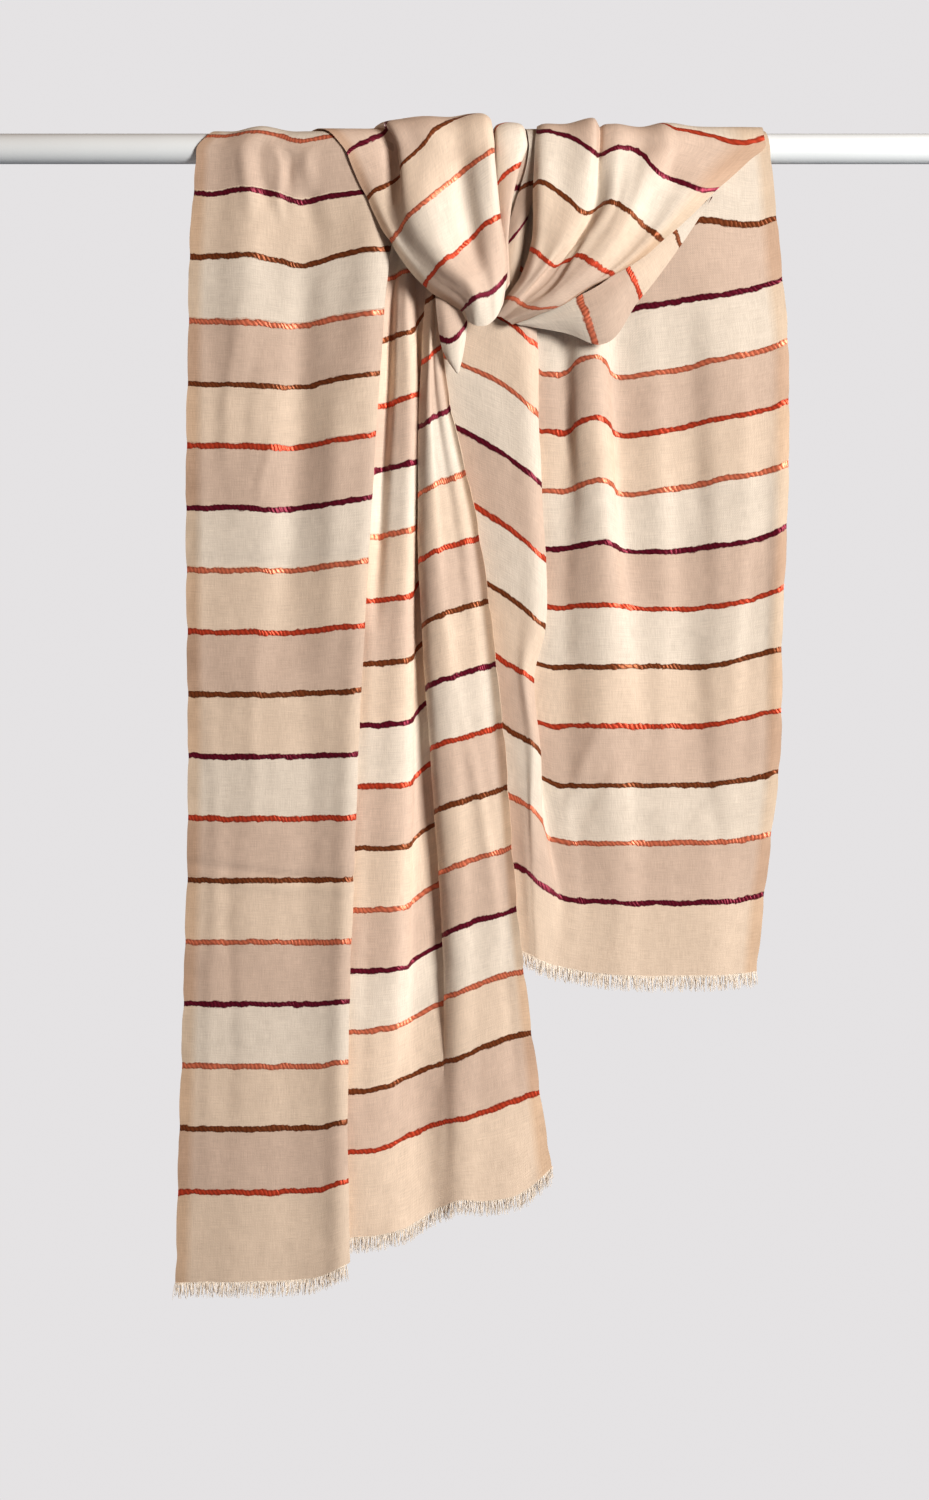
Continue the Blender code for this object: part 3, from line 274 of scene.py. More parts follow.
# Short end: slanting pleat, box pleat, broad panel and selvedge.
RIGHT_FALL = Stretch(
    along=(0, 50.5, 94, 137.5, 181, 224.5, 311.5, 355, 398.5, 442.5, 486),
    folds=(
        Fold(0, rod=516.5, top=12, foot=20.5,
             x=(27.5, 25, 21, 16.5, 10.5, 4, -13, -19, -18, -3, 5.5, 10),
             y=(-6, -6, -6, -6, -5.9, -6, -7, -9, -10, -11.3, -11.8, -12),
             z=(-559.5, -500, -449.5, -399, -348.5, -297.5, -192, -144, -110, -67, -27.5, 0)),
        Fold(14, rod=515, top=12, foot=28.5,
             x=(40, 37, 32.5, 27.5, 22, 15.5, 2, -4, 4, 12, 16.5, 18.5),
             y=(-8, -8.5, -8.8, -9, -9, -9, -9, -9.8, -10.8, -11.6, -11.9, -12),
             z=(-564, -504.5, -455.5, -406.5, -356.5, -306, -201, -152, -112, -70, -28, 0)),
        Fold(33.5, rod=511, top=12, foot=40,
             x=(48, 45, 43.5, 41, 36, 37, 29.5, 26, 29.5, 31, 32, 32.5),
             y=(-10, -11, -12, -12.5, -12, -13, -13, -13, -13, -12.5, -12.2, -12),
             z=(-567.5, -509.5, -461.5, -414.5, -366, -320, -217.5, -166, -123, -77, -28.5, 0)),
        Fold(52, rod=507, top=12, foot=50,
             x=(54, 53.5, 49.5, 50, 44.5, 52, 50, 48, 46.5, 41.5, 42, 43),
             y=(-10, -11, -12.5, -13.5, -13, -13.5, -13.5, -13.5, -13, -12.5, -12.2, -12),
             z=(-570.5, -516.5, -466, -420.5, -371.5, -334, -234, -185, -137, -88, -29.5, 0)),
        Fold(57.5, rod=505.5, top=12, foot=54,
             x=(58.5, 60, 54, 53.5, 48.5, 56.5, 54, 52, 51.5, 46.5, 47, 48),
             y=(-9, -9.5, -10, -10.5, -10, -10.5, -10.5, -10.5, -10.5, -11.5, -11.9, -12),
             z=(-572, -521, -472, -425, -375, -337.5, -238, -189, -140.5, -91, -29, 0)),
        Fold(67, rod=509.5, top=12, foot=58.5,
             x=(62.5, 64, 56, 49.5, 42.5, 47, 46.5, 45, 46, 46.5, 49.5, 53),
             y=(-8, -8, -7.9, -7.4, -7.2, -7.6, -7.6, -7.6, -7.8, -9, -9.9, -12),
             z=(-573.5, -523.5, -478, -432.5, -385, -346, -250.5, -204.5, -157, -109, -66, 0)),
        Fold(77, rod=560, top=12, foot=64,
             x=(68, 69.5, 61, 53.5, 47, 49.5, 51, 50, 50, 51.5, 56.5, 59),
             y=(-7.5, -6.6, -4.6, -3.4, -3.2, -3.2, -3.2, -3.2, -3.4, -5, -8.5, -12),
             z=(-574.5, -526.5, -486, -441.5, -401, -361, -280.5, -239.5, -197.5, -155.5, -108, 0)),
        Fold(82.5, rod=565, top=12, foot=69,
             x=(74, 76.5, 72.5, 62, 57.5, 58.5, 60, 59, 59, 59, 62.5, 65),
             y=(-7.6, -7.2, -6, -4.4, -3.8, -3.8, -3.8, -3.8, -4, -5.2, -8, -12),
             z=(-576, -528, -488, -446, -405.5, -364, -282, -241, -199.5, -158, -112.5, 0)),
        Fold(94, rod=568.5, top=12, foot=77.5,
             x=(84.5, 86.5, 81.5, 75, 73, 72.5, 72.5, 72.5, 72.5, 71, 72.5, 74),
             y=(-8, -7.5, -6.5, -5.5, -5.1, -5, -5, -4.8, -4.8, -5.5, -7, -12),
             z=(-578, -529, -488, -447.5, -406, -364.5, -281.5, -241, -199.5, -158, -113.5, 0)),
        Fold(102, rod=568.5, top=12, foot=83.5,
             x=(93, 95, 90, 84.5, 82.5, 81.5, 81, 80, 78, 78, 79, 81.5),
             y=(-9, -8.5, -8.2, -8, -8.2, -8.5, -9.5, -10, -10.5, -11, -11.5, -12),
             z=(-579, -529, -488, -447.5, -406, -364.5, -280, -237.5, -194.5, -152, -108.5, 0)),
        Fold(123, rod=568.5, top=12, foot=98.5,
             x=(112.5, 113, 110.5, 107, 105, 104, 102.5, 101, 99, 97.5, 97, 97.5),
             y=(-10.5, -10.5, -10.7, -11, -11.5, -12, -12.8, -12.8, -12.6, -12.4, -12.2, -12),
             z=(-580.5, -530, -488, -447.5, -406, -364.5, -278.5, -236, -192.5, -150, -107, 0)),
        Fold(127.5, rod=570, top=12, foot=101,
             x=(116.5, 117.5, 115.5, 112.5, 111, 110, 106.5, 104.5, 102.5, 101, 100, 100.5),
             y=(-10.5, -10.4, -10.4, -10.4, -10.5, -10.5, -10.2, -9.4, -9, -9, -10.2, -12),
             z=(-580.5, -530, -488, -447.5, -406, -364.5, -280.5, -238.5, -196, -153.5, -110, 0)),
        Fold(131.5, rod=570.5, top=12, foot=104,
             x=(120.5, 121.5, 119.5, 117, 116.5, 116, 109, 106, 104, 102.5, 103, 104),
             y=(-10.5, -10, -9.7, -9.5, -9.3, -9, -7.2, -6.2, -6, -6.3, -8, -12),
             z=(-581, -530, -488, -447.5, -406, -364.5, -282, -241.5, -199.5, -157.5, -112.5, 0)),
        Fold(158, rod=571, top=12, foot=127.5,
             x=(145, 145, 144.5, 144, 143, 142.5, 142.5, 140.5, 138, 137, 133.5, 131),
             y=(-11.5, -11, -10.8, -10.5, -10, -9.5, -9, -8.5, -8, -8, -9.5, -12),
             z=(-581, -530, -488, -447.5, -406, -364.5, -283.5, -241, -199, -157.5, -110.5, 0)),
        Fold(189, rod=570, top=12, foot=158,
             x=(173, 174.5, 175, 175.5, 175.5, 175.5, 175.5, 174.5, 174, 173, 169, 165),
             y=(-13.5, -13.5, -13.3, -13, -13, -13, -13, -13, -13, -13, -13, -12),
             z=(-580.5, -529, -487.5, -446.5, -405, -363.5, -280, -234.5, -192, -150.5, -105.5, 0)),
        Fold(222.5, rod=582.5, top=12, foot=191,
             x=(193.5, 198.5, 203.5, 208, 209.5, 210.5, 214, 214.5, 214.5, 214, 209.5, 202),
             y=(-11.5, -11.5, -11.3, -11, -11, -11, -11, -11, -11, -11, -11.5, -12),
             z=(-579, -527, -484, -441, -397.5, -355, -272.5, -227, -183.5, -141.5, -98, 0)),
        Fold(235, rod=580.5, top=12, foot=201,
             x=(205, 210.5, 215, 220, 222, 222, 225.5, 227, 227, 226.5, 223, 214),
             y=(-10.5, -10.5, -10, -10, -10, -10, -10, -10, -10, -10, -10.5, -12),
             z=(-578, -523.5, -481.5, -437.5, -394.5, -352, -266, -222.5, -178.5, -136, -92.5, 0)),
    ),
)

# Swag that comes down from the rod on the left.
LEFT_SWAG = Stretch(
    along=(0, 18, 61.5, 105),
    folds=(
        Fold(0, rod=200, top=14.2, foot=-142,
             x=(1, -2.4, -28.3, -52.2, -85.8),
             y=(-25, -27, -25, -22, -14),
             z=(-122.5, -117.6, -100.1, -69.3, 0)),
        Fold(10, rod=194, top=14.2, foot=-127.5,
             x=(2.4, -0.3, -25.5, -49.3, -78),
             y=(-28.5, -31.5, -29, -24.5, -14),
             z=(-123.9, -116.2, -96.6, -65.8, 0)),
        Fold(24, rod=185.5, top=14.1, foot=-111,
             x=(4.5, 1.8, -22.8, -45.8, -59.8),
             y=(-30.5, -35, -32, -25.6, -14),
             z=(-126, -114.1, -93.1, -62.3, 0)),
        Fold(31, rod=180, top=14.1, foot=-101,
             x=(5.6, 2.8, -21.3, -43.8, -51.4),
             y=(-31.2, -36.4, -33.6, -27.6, -13.9),
             z=(-126.7, -113.7, -91.7, -59.5, 0)),
        Fold(36.5, rod=175, top=14.9, foot=-94,
             x=(6.6, 3.8, -19.6, -42, -45.5),
             y=(-32, -37.8, -35.6, -30.6, -15),
             z=(-127.4, -112.7, -89.9, -56.7, 0)),
        Fold(42, rod=171, top=17.4, foot=-88.5,
             x=(7.7, 4.9, -18.2, -39.5, -47.2),
             y=(-32.6, -39.2, -37.8, -34, -19.6),
             z=(-128, -111.6, -88.2, -53.5, 0)),
        Fold(57.5, rod=155.5, top=20.5, foot=-72,
             x=(10.8, 8, -12.9, -28.3, -33.9),
             y=(-33, -41, -40.5, -37.4, -24),
             z=(-128.4, -109.9, -83.3, -44.1, 0)),
        Fold(75.5, rod=139.5, top=22, foot=-51,
             x=(15, 12.9, -3.8, -13.6, -19.2),
             y=(-33, -39.5, -37, -33, -27),
             z=(-128.1, -107.8, -77, -32.2, 0)),
        Fold(89.5, rod=127.5, top=21.5, foot=-27.5,
             x=(18.5, 17.1, 4.5, -2.4, -4.5),
             y=(-32.5, -38, -34, -29.5, -26),
             z=(-126, -106.4, -67.9, -21.7, 0)),
        Fold(103.5, rod=117.5, top=23.5, foot=-10,
             x=(22.8, 22.8, 15.7, 10.8, 9.4),
             y=(-32, -37.5, -37, -34, -30),
             z=(-121.1, -102.2, -57.4, -12.6, 0)),
        Fold(112, rod=112.5, top=23.5, foot=-0.5,
             x=(25.5, 27.6, 22.8, 17.8, 17.1),
             y=(-30, -34.5, -35, -33, -30),
             z=(-115.5, -96.6, -53.2, -7.7, 0)),
        Fold(120.5, rod=110.5, top=20.5, foot=8,
             x=(27, 29.7, 24.8, 20.6, 20.6),
             y=(-27, -28.5, -28.5, -27, -25),
             z=(-109.9, -91.7, -51.1, -5.6, 0)),
        Fold(129, rod=108, top=16.5, foot=15.5,
             x=(23.4, 24.8, 20.6, 18.5, 18.5),
             y=(-23.5, -22.5, -21.5, -19.5, -19),
             z=(-107.1, -88.9, -49, -2.8, 0)),
    ),
)

# Narrow pleat between the two swags.
MIDDLE_PLEAT = Stretch(
    along=(0, 21, 61.5),
    folds=(
        Fold(0, rod=98, top=14, foot=19,
             x=(23.4, 21.3, 19.2, 21.3),
             y=(-16.8, -16.4, -15.8, -14.6),
             z=(-106.4, -78.4, -35.7, 0)),
        Fold(10, rod=88, top=16.5, foot=23,
             x=(26.2, 24.1, 23.4, 22.8),
             y=(-19.5, -20, -20.5, -19),
             z=(-105, -74.2, -28, 0)),
        Fold(21, rod=80, top=18, foot=27.5,
             x=(29.7, 28.3, 31.1, 31.8),
             y=(-21, -22.5, -24, -21.5),
             z=(-100.8, -70, -19.6, 0)),
        Fold(31, rod=75.5, top=16.5, foot=32.5,
             x=(31.1, 30.4, 38.8, 42.3),
             y=(-20, -21.5, -22, -19.5),
             z=(-96.6, -64.4, -14.7, 0)),
        Fold(35, rod=75, top=14.5, foot=34.5,
             x=(29.7, 29, 39.5, 43.8),
             y=(-18, -18, -18, -16.5),
             z=(-95.2, -63, -13.3, 0)),
    ),
)

# Deeper fold behind that pleat.
INNER_FOLD = Stretch(
    along=(0, 43.5, 77, 105),
    folds=(
        Fold(0, rod=115.5, top=13.8, foot=37.5,
             x=(28.3, 26.2, 35.3, 43.8, 45.1),
             y=(-14.8, -14.8, -14.8, -14.2, -13.8),
             z=(-107.8, -74.2, -41.3, -11.2, 0)),
        Fold(10, rod=114, top=13.8, foot=41,
             x=(30.4, 31.1, 39.5, 46.5, 47.2),
             y=(-16.4, -16.8, -15.8, -14.6, -13.8),
             z=(-105, -67.9, -37.8, -9.8, 0)),
        Fold(24, rod=114, top=13.8, foot=44.5,
             x=(33.9, 38.1, 44.4, 50, 49.3),
             y=(-16.7, -17.8, -16, -14.4, -13.8),
             z=(-100.8, -59.5, -35, -9.8, 0)),
        Fold(35, rod=114, top=13.8, foot=47,
             x=(36.8, 44.4, 50.8, 53.5, 52.2),
             y=(-15.4, -16, -15, -14.2, -13.8),
             z=(-99.4, -50.4, -30.8, -9.8, 0)),
    ),
)

# Swag that fans out to the rod on the right.
RIGHT_SWAG = Stretch(
    along=(-21, 0, 21, 43.5, 87),
    folds=(
        Fold(0, rod=120.5, top=15.8, foot=57,
             x=(20.6, 29, 38.8, 45.8, 47.9, 49.3),
             y=(-17.5, -21, -25, -24, -22, -16.4),
             z=(-119, -107.1, -93.1, -73.5, -29.4, 0)),
        Fold(8.5, rod=120.5, top=17, foot=60.5,
             x=(22, 31.1, 41.6, 48.6, 52.2, 53.5),
             y=(-19, -24, -29, -28.5, -27, -20),
             z=(-119.7, -107.8, -94.5, -75.6, -27.3, 0)),
        Fold(26.5, rod=124.5, top=17, foot=74.5,
             x=(24.1, 33.9, 46.5, 55.6, 68.9, 71),
             y=(-20, -26, -31, -31, -29.5, -21),
             z=(-120.4, -108.5, -95.2, -81.9, -37.8, 0)),
        Fold(43.5, rod=137, top=20.8, foot=90.5,
             x=(25.9, 36.8, 50.8, 60.5, 83.6, 91.3),
             y=(-20.2, -26.6, -30.5, -31, -31, -24),
             z=(-120.7, -109.9, -97.3, -86.1, -49.7, 0)),
        Fold(50.5, rod=138, top=17.6, foot=93.5,
             x=(26.6, 38.1, 52.8, 63.3, 87.1, 93.4),
             y=(-20.2, -26.2, -28.2, -28.8, -27.9, -18),
             z=(-121.3, -110.9, -98.3, -86.8, -49, 0)),
        Fold(59, rod=138.5, top=15.2, foot=96,
             x=(27.2, 39.2, 54.6, 66.4, 90.2, 94.8),
             y=(-20.4, -26, -27.2, -27.8, -26.4, -15),
             z=(-121.8, -112, -99.8, -85.2, -47.2, 0)),
        Fold(68, rod=138.5, top=16.8, foot=100,
             x=(27.6, 40.2, 56.3, 70, 93.8, 97.6),
             y=(-20.8, -26.6, -28.6, -29.2, -28, -17.8),
             z=(-122.3, -113, -100.4, -82.7, -44.8, 0)),
        Fold(78.5, rod=134.5, top=17.2, foot=106,
             x=(28.3, 43, 60.5, 75.2, 99, 104.6),
             y=(-21.6, -28.5, -32.5, -32.6, -32.2, -20),
             z=(-122.8, -114.4, -101.5, -79.8, -42.7, 0)),
        Fold(105, rod=137, top=15.2, foot=123.5,
             x=(30.1, 50, 68.2, 88.5, 111.6, 124.9),
             y=(-23, -31.5, -35, -36, -35, -16.5),
             z=(-123.9, -116.2, -103.6, -84.7, -47.6, 0)),
        Fold(127.5, rod=157.5, top=18.5, foot=142.5,
             x=(31.5, 57, 74.5, 94.1, 120.7, 145.2),
             y=(-22.5, -32, -33.5, -34, -32.5, -20),
             z=(-124.6, -115.8, -104.3, -88.2, -55.3, 0)),
        Fold(144, rod=164.5, top=15.4, foot=162,
             x=(32.5, 61.2, 78.8, 99, 127.7, 164.8),
             y=(-21.5, -31, -31.5, -32, -30, -16),
             z=(-125.3, -115.5, -104.3, -91, -60.9, 0)),
        Fold(157, rod=172, top=15.2, foot=191,
             x=(33.2, 64.4, 82.2, 102.6, 134, 197.8),
             y=(-20.2, -29.5, -30, -30.5, -28, -15.6),
             z=(-125.6, -114.8, -103.2, -92, -65.8, 0)),
        Fold(162.5, rod=168, top=15, foot=202.5,
             x=(33.6, 66.1, 84.3, 103.9, 137.5, 211),
             y=(-18.2, -26.8, -27.3, -27.6, -24.8, -15.2),
             z=(-125.6, -113.7, -102.2, -92.4, -67.9, 0)),
    ),
)

# Turned edge below the right swag, its reverse side out.
RIGHT_LINING = Stretch(
    along=(-28, -14, 0, 43.5, 87, 131),
    folds=(
        Fold(162.5,
             x=(34.6, 56.3, 80.1, 112.3, 145.2, 173.2),
             y=(-16, -20.3, -24.6, -24.9, -22.4, -17.4),
             z=(-123.2, -116.9, -106.4, -84.7, -59.5, -36.4)),
        Fold(183.5,
             x=(37.4, 65.4, 86.4, 118.6, 148.8, 172.5),
             y=(-16.4, -22, -27, -25, -19.4, -15.4),
             z=(-125.3, -123.9, -124.6, -96.6, -65.1, -37.8)),
        Fold(199,
             x=(40.9, 72.4, 90.6, 122.8, 150.8, 171.1),
             y=(-15.4, -19.5, -23, -21, -17, -14.6),
             z=(-126, -132.3, -140, -107.8, -70.7, -39.9)),
    ),
)

# Turned edge and tip below the left swag, its reverse side out.
LEFT_LINING = Stretch(
    along=(0, 14, 28, 42, 59),
    folds=(
        Fold(0,
             x=(-3.5, -0.3, 1.8, -0.3, -4.5),
             y=(-21, -22.4, -22.8, -23, -23.4),
             z=(-158.2, -142.8, -124.6, -116.2, -107.8)),
        Fold(10,
             x=(-4.2, -4.5, -3.8, -6.6, -9.4),
             y=(-21.6, -24, -25.2, -25.1, -24.9),
             z=(-159.6, -149.8, -133, -118.3, -106.4)),
        Fold(19.5,
             x=(-5.2, -9.4, -10.8, -13.6, -15),
             y=(-21.4, -23.6, -24.8, -25.3, -24.9),
             z=(-160.3, -151.2, -138.2, -120.4, -105)),
        Fold(29.5,
             x=(-6.3, -13.6, -17.1, -19.2, -20.6),
             y=(-20.6, -21, -21.6, -22.6, -23.6),
             z=(-159.2, -147.7, -135.8, -119, -102.9)),
    ),
)

# Bands and stripes of each stretch, counted from its lower end. first: how far along the cut its first
# stripe lies, in millimetres. Each letter is a stripe: plum, red, coral, brown. The bands lie between
# the stripes, so there is one more of them.
LONG_END = {
    "first": 60.9,
    "stripes": "R B C P C B R P B R C P R B C B P C",
    "bands": "beige tan beige cream tan beige tan cream beige tan beige cream tan beige tan cream"
             " beige tan cream",
}
SHORT_END = {
    "first": 50.4,
    "stripes": "P C B R B R P C R C P B",
    "bands": "beige tan cream tan beige cream tan cream beige tan cream tan cream",
}
LEFT_SWAG_WEAVE = {
    "first": 18.2,
    "stripes": "P R C B P",
    "bands": "cream tan cream beige tan tan",
}
MIDDLE_WEAVE = {"first": 61.6, "stripes": "R R P", "bands": "tan cream beige tan"}
INNER_WEAVE = {"first": 43.4, "stripes": "P B", "bands": "beige tan cream"}
RIGHT_SWAG_WEAVE = {
    "first": 0.0,
    "stripes": "C R B P R",
    "bands": "tan tan beige cream tan cream",
}
LINING_WEAVE = {"first": 0.0, "stripes": "C R B P", "bands": "cream tan beige cream cream"}
TURNED_WEAVE = {"first": 28.0, "stripes": "P R", "bands": "cream tan beige"}


class Sheet:
    """How one stretch of cloth is made: its fold lines, path, weave, cut and selvedges."""

    def __init__(self, node, stretch, path, weave, width, length, edges=(), tone=1.0):
        self.node = node
        self.stretch = stretch
        self.path = path
        self.weave = weave
        self.width = width      # of the cut that shows, in millimetres
        self.length = length
        self.edges = edges      # places across the cut where a selvedge runs
        # painted light and shade: scales the stretch's colours lighter or darker for how lit it is, as the
        # cloth is one colour throughout
        self.tone = tone        # how bright this stretch reads against the others

    @property
    def flat(self):
        """Width and length of the cut that shows, in metres."""
        return (self.width * MM, self.length * MM)


# The last figure of a sheet is painted light and shade: it paints the whole stretch lighter or darker for how
# lit it is.
FALLS = (
    Sheet("left_fall", LEFT_FALL, "under", LONG_END, 150, 880, edges=(0,), tone=0.83),
    Sheet("left_pleats", LEFT_PLEATS, "under", LONG_END, 125, 850, edges=(343,), tone=1.04),
    Sheet("right_fall", RIGHT_FALL, "under", SHORT_END, 235, 650, edges=(235,), tone=0.9),
)
# Here too a sheet's last figure is painted light and shade.
SWAGS = (
    Sheet("left_swag", LEFT_SWAG, "over", LEFT_SWAG_WEAVE, 110, 245, edges=(0,)),
    Sheet("middle_pleat", MIDDLE_PLEAT, "over", MIDDLE_WEAVE, 24, 180),
    Sheet("inner_fold", INNER_FOLD, "over", INNER_WEAVE, 12, 180, tone=0.78),
    Sheet("right_swag", RIGHT_SWAG, "over", RIGHT_SWAG_WEAVE, 110, 270, edges=(162.5,), tone=0.95),
)
# Here too a sheet's last figure is painted light and shade.
LININGS = (
    Sheet("right_lining", RIGHT_LINING, None, LINING_WEAVE, 22, 150, tone=0.85),
    Sheet("left_lining", LEFT_LINING, None, TURNED_WEAVE, 22, 55),
)


class Crease:
    """A soft trough or ridge pressed into a stretch, from one place to another, in millimetres.

    start, end: (across, along) on the cut. height: out of the cloth, or into it below zero. width:
    half its width. sway: how far it wanders from the straight line between its ends.
    """

    def __init__(self, start, end, height, width, sway=0.0):
        self.start = np.array(start, dtype=float)
        self.end = np.array(end, dtype=float)
        self.height = height
        self.width = width
        self.sway = sway


# Creases of each stretch.
CREASES = {
    "left_fall": (
        Crease((-12, 289), (150, 277), -1.7, 3.0, 1.5),     # pressed across while it lay folded
        Crease((-12, 282), (140, 270), 1.0, 3.5, 1.0),
        Crease((-10, 505), (150, 500), -0.8, 3.5, 1.0),
        Crease((40, 796), (46, 735), 1.6, 4.5, 1.0),
        Crease((52, 798), (54, 745), -2.6, 4.0, 1.0),
        Crease((62, 796), (66, 740), 2.0, 4.0, 1.5),
        Crease((90, 790), (96, 700), -1.4, 6.0, 2.5),
        Crease((76, 794), (74, 762), -1.8, 5.0, 0.5),
        Crease((90, 796), (90, 762), 2.4, 5.0, 0.5),
        Crease((38, 690), (26, 560), 1.0, 4.5, 1.5),
        Crease((50, 680), (40, 560), -0.9, 5.0, 1.5),
        Crease((62, 600), (52, 540), 0.9, 3.5, 1.0),
        Crease((12, 660), (10, 380), 0.7, 4.5, 1.5),
        Crease((108, 770), (116, 500), -1.2, 8.0, 2.0),
        Crease((18, 420), (24, 60), 0.8, 5.0, 2.0),
        Crease((34, 330), (36, 80), -0.8, 5.0, 2.0),
        Crease((52, 470), (46, 300), 0.7, 5.0, 2.0),
        Crease((80, 500), (96, 200), -0.9, 9.0, 3.0),
        Crease((120, 770), (98, 420), 3.2, 9.5, 1.5),       # ridge at the folded right edge
        Crease((91, 780), (67, 410), -3.8, 11.0, 1.5),      # broad dip beside it
    ),
    "left_pleats": (
        Crease((190, 700), (196, 300), 0.8, 4.0, 1.5),
        Crease((300, 690), (318, 330), -1.0, 6.0, 2.0),
        Crease((292, 420), (330, 120), 1.0, 6.0, 2.0),
        Crease((318, 330), (326, 40), -0.9, 6.0, 2.0),
        Crease((292, 640), (290, 120), 2.4, 9.0, 1.0),      # turns the front pleat to the right
        Crease((334, 640), (330, 140), -2.4, 10.0, 1.5),
        Crease((260, 170), (258, 0), 2.8, 13.0, 1.0),
        Crease((226, 190), (224, 0), -2.8, 13.0, 1.0),
        Crease((200, 330), (205, 40), -0.8, 5.0, 2.0),
        Crease((214, 500), (216, 180), 0.8, 5.0, 1.5),
        Crease((194, 725), (198, 430), -7.0, 7.0, 0.5),     # recess beside the panel, below the swag
    ),
    "right_fall": (
        Crease((110, 505), (132, 430), -1.4, 4.5, 2.0),
        Crease((96, 470), (98, 300), -1.0, 4.5, 1.0),
        Crease((150, 480), (160, 250), 1.0, 7.0, 2.0),
        Crease((178, 500), (182, 220), -1.2, 7.0, 2.0),
        Crease((206, 480), (204, 160), 1.2, 6.0, 2.0),
        Crease((222, 460), (222, 80), -1.0, 4.5, 1.5),
        Crease((120, 330), (140, 130), 1.0, 7.0, 2.0),
        Crease((170, 260), (196, 60), -1.0, 7.0, 2.0),
        Crease((84, 110), (116, 185), 1.4, 4.5, 1.0),       # slanting pull low on the short end
        Crease((94, 100), (126, 170), -1.0, 5.0, 1.0),
        Crease((229, 505), (227, 60), 4.6, 13.0, 1.5),      # the outer third turns a little to the left
        Crease((170, 505), (174, 80), -4.6, 17.0, 2.0),
    ),
    "left_swag": (
        Crease((-2, 190), (0, 100), -2.2, 12.0, 0.5),       # the edge lies back
        Crease((30, 205), (32, 125), -2.6, 6.5, 0.5),       # hollow beside the overlapping fold
        Crease((42, 300), (47, 228), 2.6, 5.0, 1.0),        # behind the rod, and the next one too
        Crease((92, 300), (85, 232), 2.2, 6.0, 1.0),
        Crease((91, 115), (88, 35), -2.6, 7.0, 1.5),        # soft trough down the lobe
        Crease((112, 120), (110, 35), 1.2, 6.0, 1.0),
    ),
    "right_swag": (
        Crease((20, 118), (20, 10), -0.8, 6.0, 1.5),
        Crease((34, 120), (34, 15), 0.7, 5.0, 1.0),
        Crease((92, 140), (90, 10), -1.4, 7.0, 1.5),
        Crease((116, 150), (112, 20), 1.0, 7.0, 1.5),
        Crease((134, 165), (130, 30), -1.0, 8.0, 2.0),
        Crease((126, 190), (140, 120), -1.6, 6.0, 1.5),
        Crease((154, 150), (152, 30), 3.8, 8.0, 1.0),
        Crease((44, 60), (50, 2), -3.2, 7.0, 0.5),          # valleys that deepen towards the gather
        Crease((74, 60), (76, 4), -2.4, 6.0, 0.5),
        Crease((60, 275), (56, 205), 2.4, 5.0, 1.0),        # behind the rod, as the next two are
        Crease((120, 300), (113, 228), 2.6, 6.0, 1.0),
        Crease((31, 270), (34, 208), 1.6, 4.0, 1.0),
    ),
}

# Fringes: node, the stretch whose hem carries it, and the part of the hem that shows.
FRINGES = (
    ("left_fringe", FALLS[0], 0.0, 124.5),
    ("middle_fringe", FALLS[1], 187.5, 343.0),
    ("right_fringe", FALLS[2], 14.0, 235.0),
)

YARN_COLOURS = {
    "P": ("plum", "#761c36"),
    "R": ("red", "#d2553b"),
    "C": ("coral", "#e6876a"),
    "B": ("brown", "#8c5030"),
}
GROUND_COLOURS = {"cream": "#f0e6da", "beige": "#eedbc9", "tan": "#dfc9ba"}


def linear(text):
    """Linear colour with full alpha from a display colour written as #rrggbb."""
    parts = [int(text[at:at + 2], 16) / 255 for at in (1, 3, 5)]
    return (*(part / 12.92 if part < 0.04045 else ((part + 0.055) / 1.055) ** 2.4 for part in parts), 1.0)


# Fold lines made into a fine net of places -----------------------------------------------------------


def slopes(places, values):
    """Slope at each place, weighted so that a short span counts more than a long one."""
    steps = np.diff(places)[:, None]
    chords = np.diff(values, axis=0) / steps
    inner = (chords[:-1] * steps[1:] + chords[1:] * steps[:-1]) / (steps[1:] + steps[:-1])
    return np.vstack([chords[:1], inner, chords[-1:]])


def curve(places, values, wanted):
    """Smooth curve through the values at the places, read at the wanted places."""
    slope = slopes(places, values)
    index = np.clip(np.searchsorted(places, wanted, side="right") - 1, 0, len(places) - 2)
    span = (places[index + 1] - places[index])[:, None]
    t = (wanted - places[index])[:, None] / span
    return (
        values[index] * (2 * t**3 - 3 * t**2 + 1)
        + slope[index] * span * (t**3 - 2 * t**2 + t)
        + values[index + 1] * (3 * t**2 - 2 * t**3)
        + slope[index + 1] * span * (t**3 - t**2)
    )


def over_the_rod(fold, path):
    """Places of a fold line from the rod's front over its top and down into the loop behind it."""
    x, y, _ = fold.places[-1]
    back = UNDER_RADIUS if path == "under" else OVER_RADIUS
    places = []
    for turn in TURNS:
        if turn <= 90:
            radius = -y + (fold.top + y) * turn / 90
        else:
            radius = fold.top + (back - fold.top) * (turn - 90) / 90 * BACK_REACH[path]
        angle = np.radians(turn)
        shift = ROD_SHIFT * turn / 180
        places.append((x + (fold.foot - x) * shift, -radius * np.cos(angle), radius * np.sin(angle)))
    for depth, fall, shift in LOOPS[path]:
        places.append((x + (fold.foot - x) * shift, depth, -LOOP_DROP * fall))
    return places


def whole_line(stretch, fold, path):
    """How far along the cloth each place of a fold line is, over the rod too, and the places."""
    along = list(stretch.along)
    places = list(fold.places)
    if path:
        share = RUN_IN / (fold.rod - along[-1])
        if share < 0.5:  # the last span is long enough to be held straight near the rod
            near = np.add(np.multiply(places[-1], 1 - share), np.multiply(places[-2], share))
            along.append(fold.rod - RUN_IN)
            places.insert(-1, tuple(near))
        along.append(fold.rod)
        for place in over_the_rod(fold, path):
            along.append(along[-1] + float(np.linalg.norm(np.subtract(place, places[-1]))))
            places.append(place)
    return np.array(along, dtype=float), np.array(places, dtype=float)


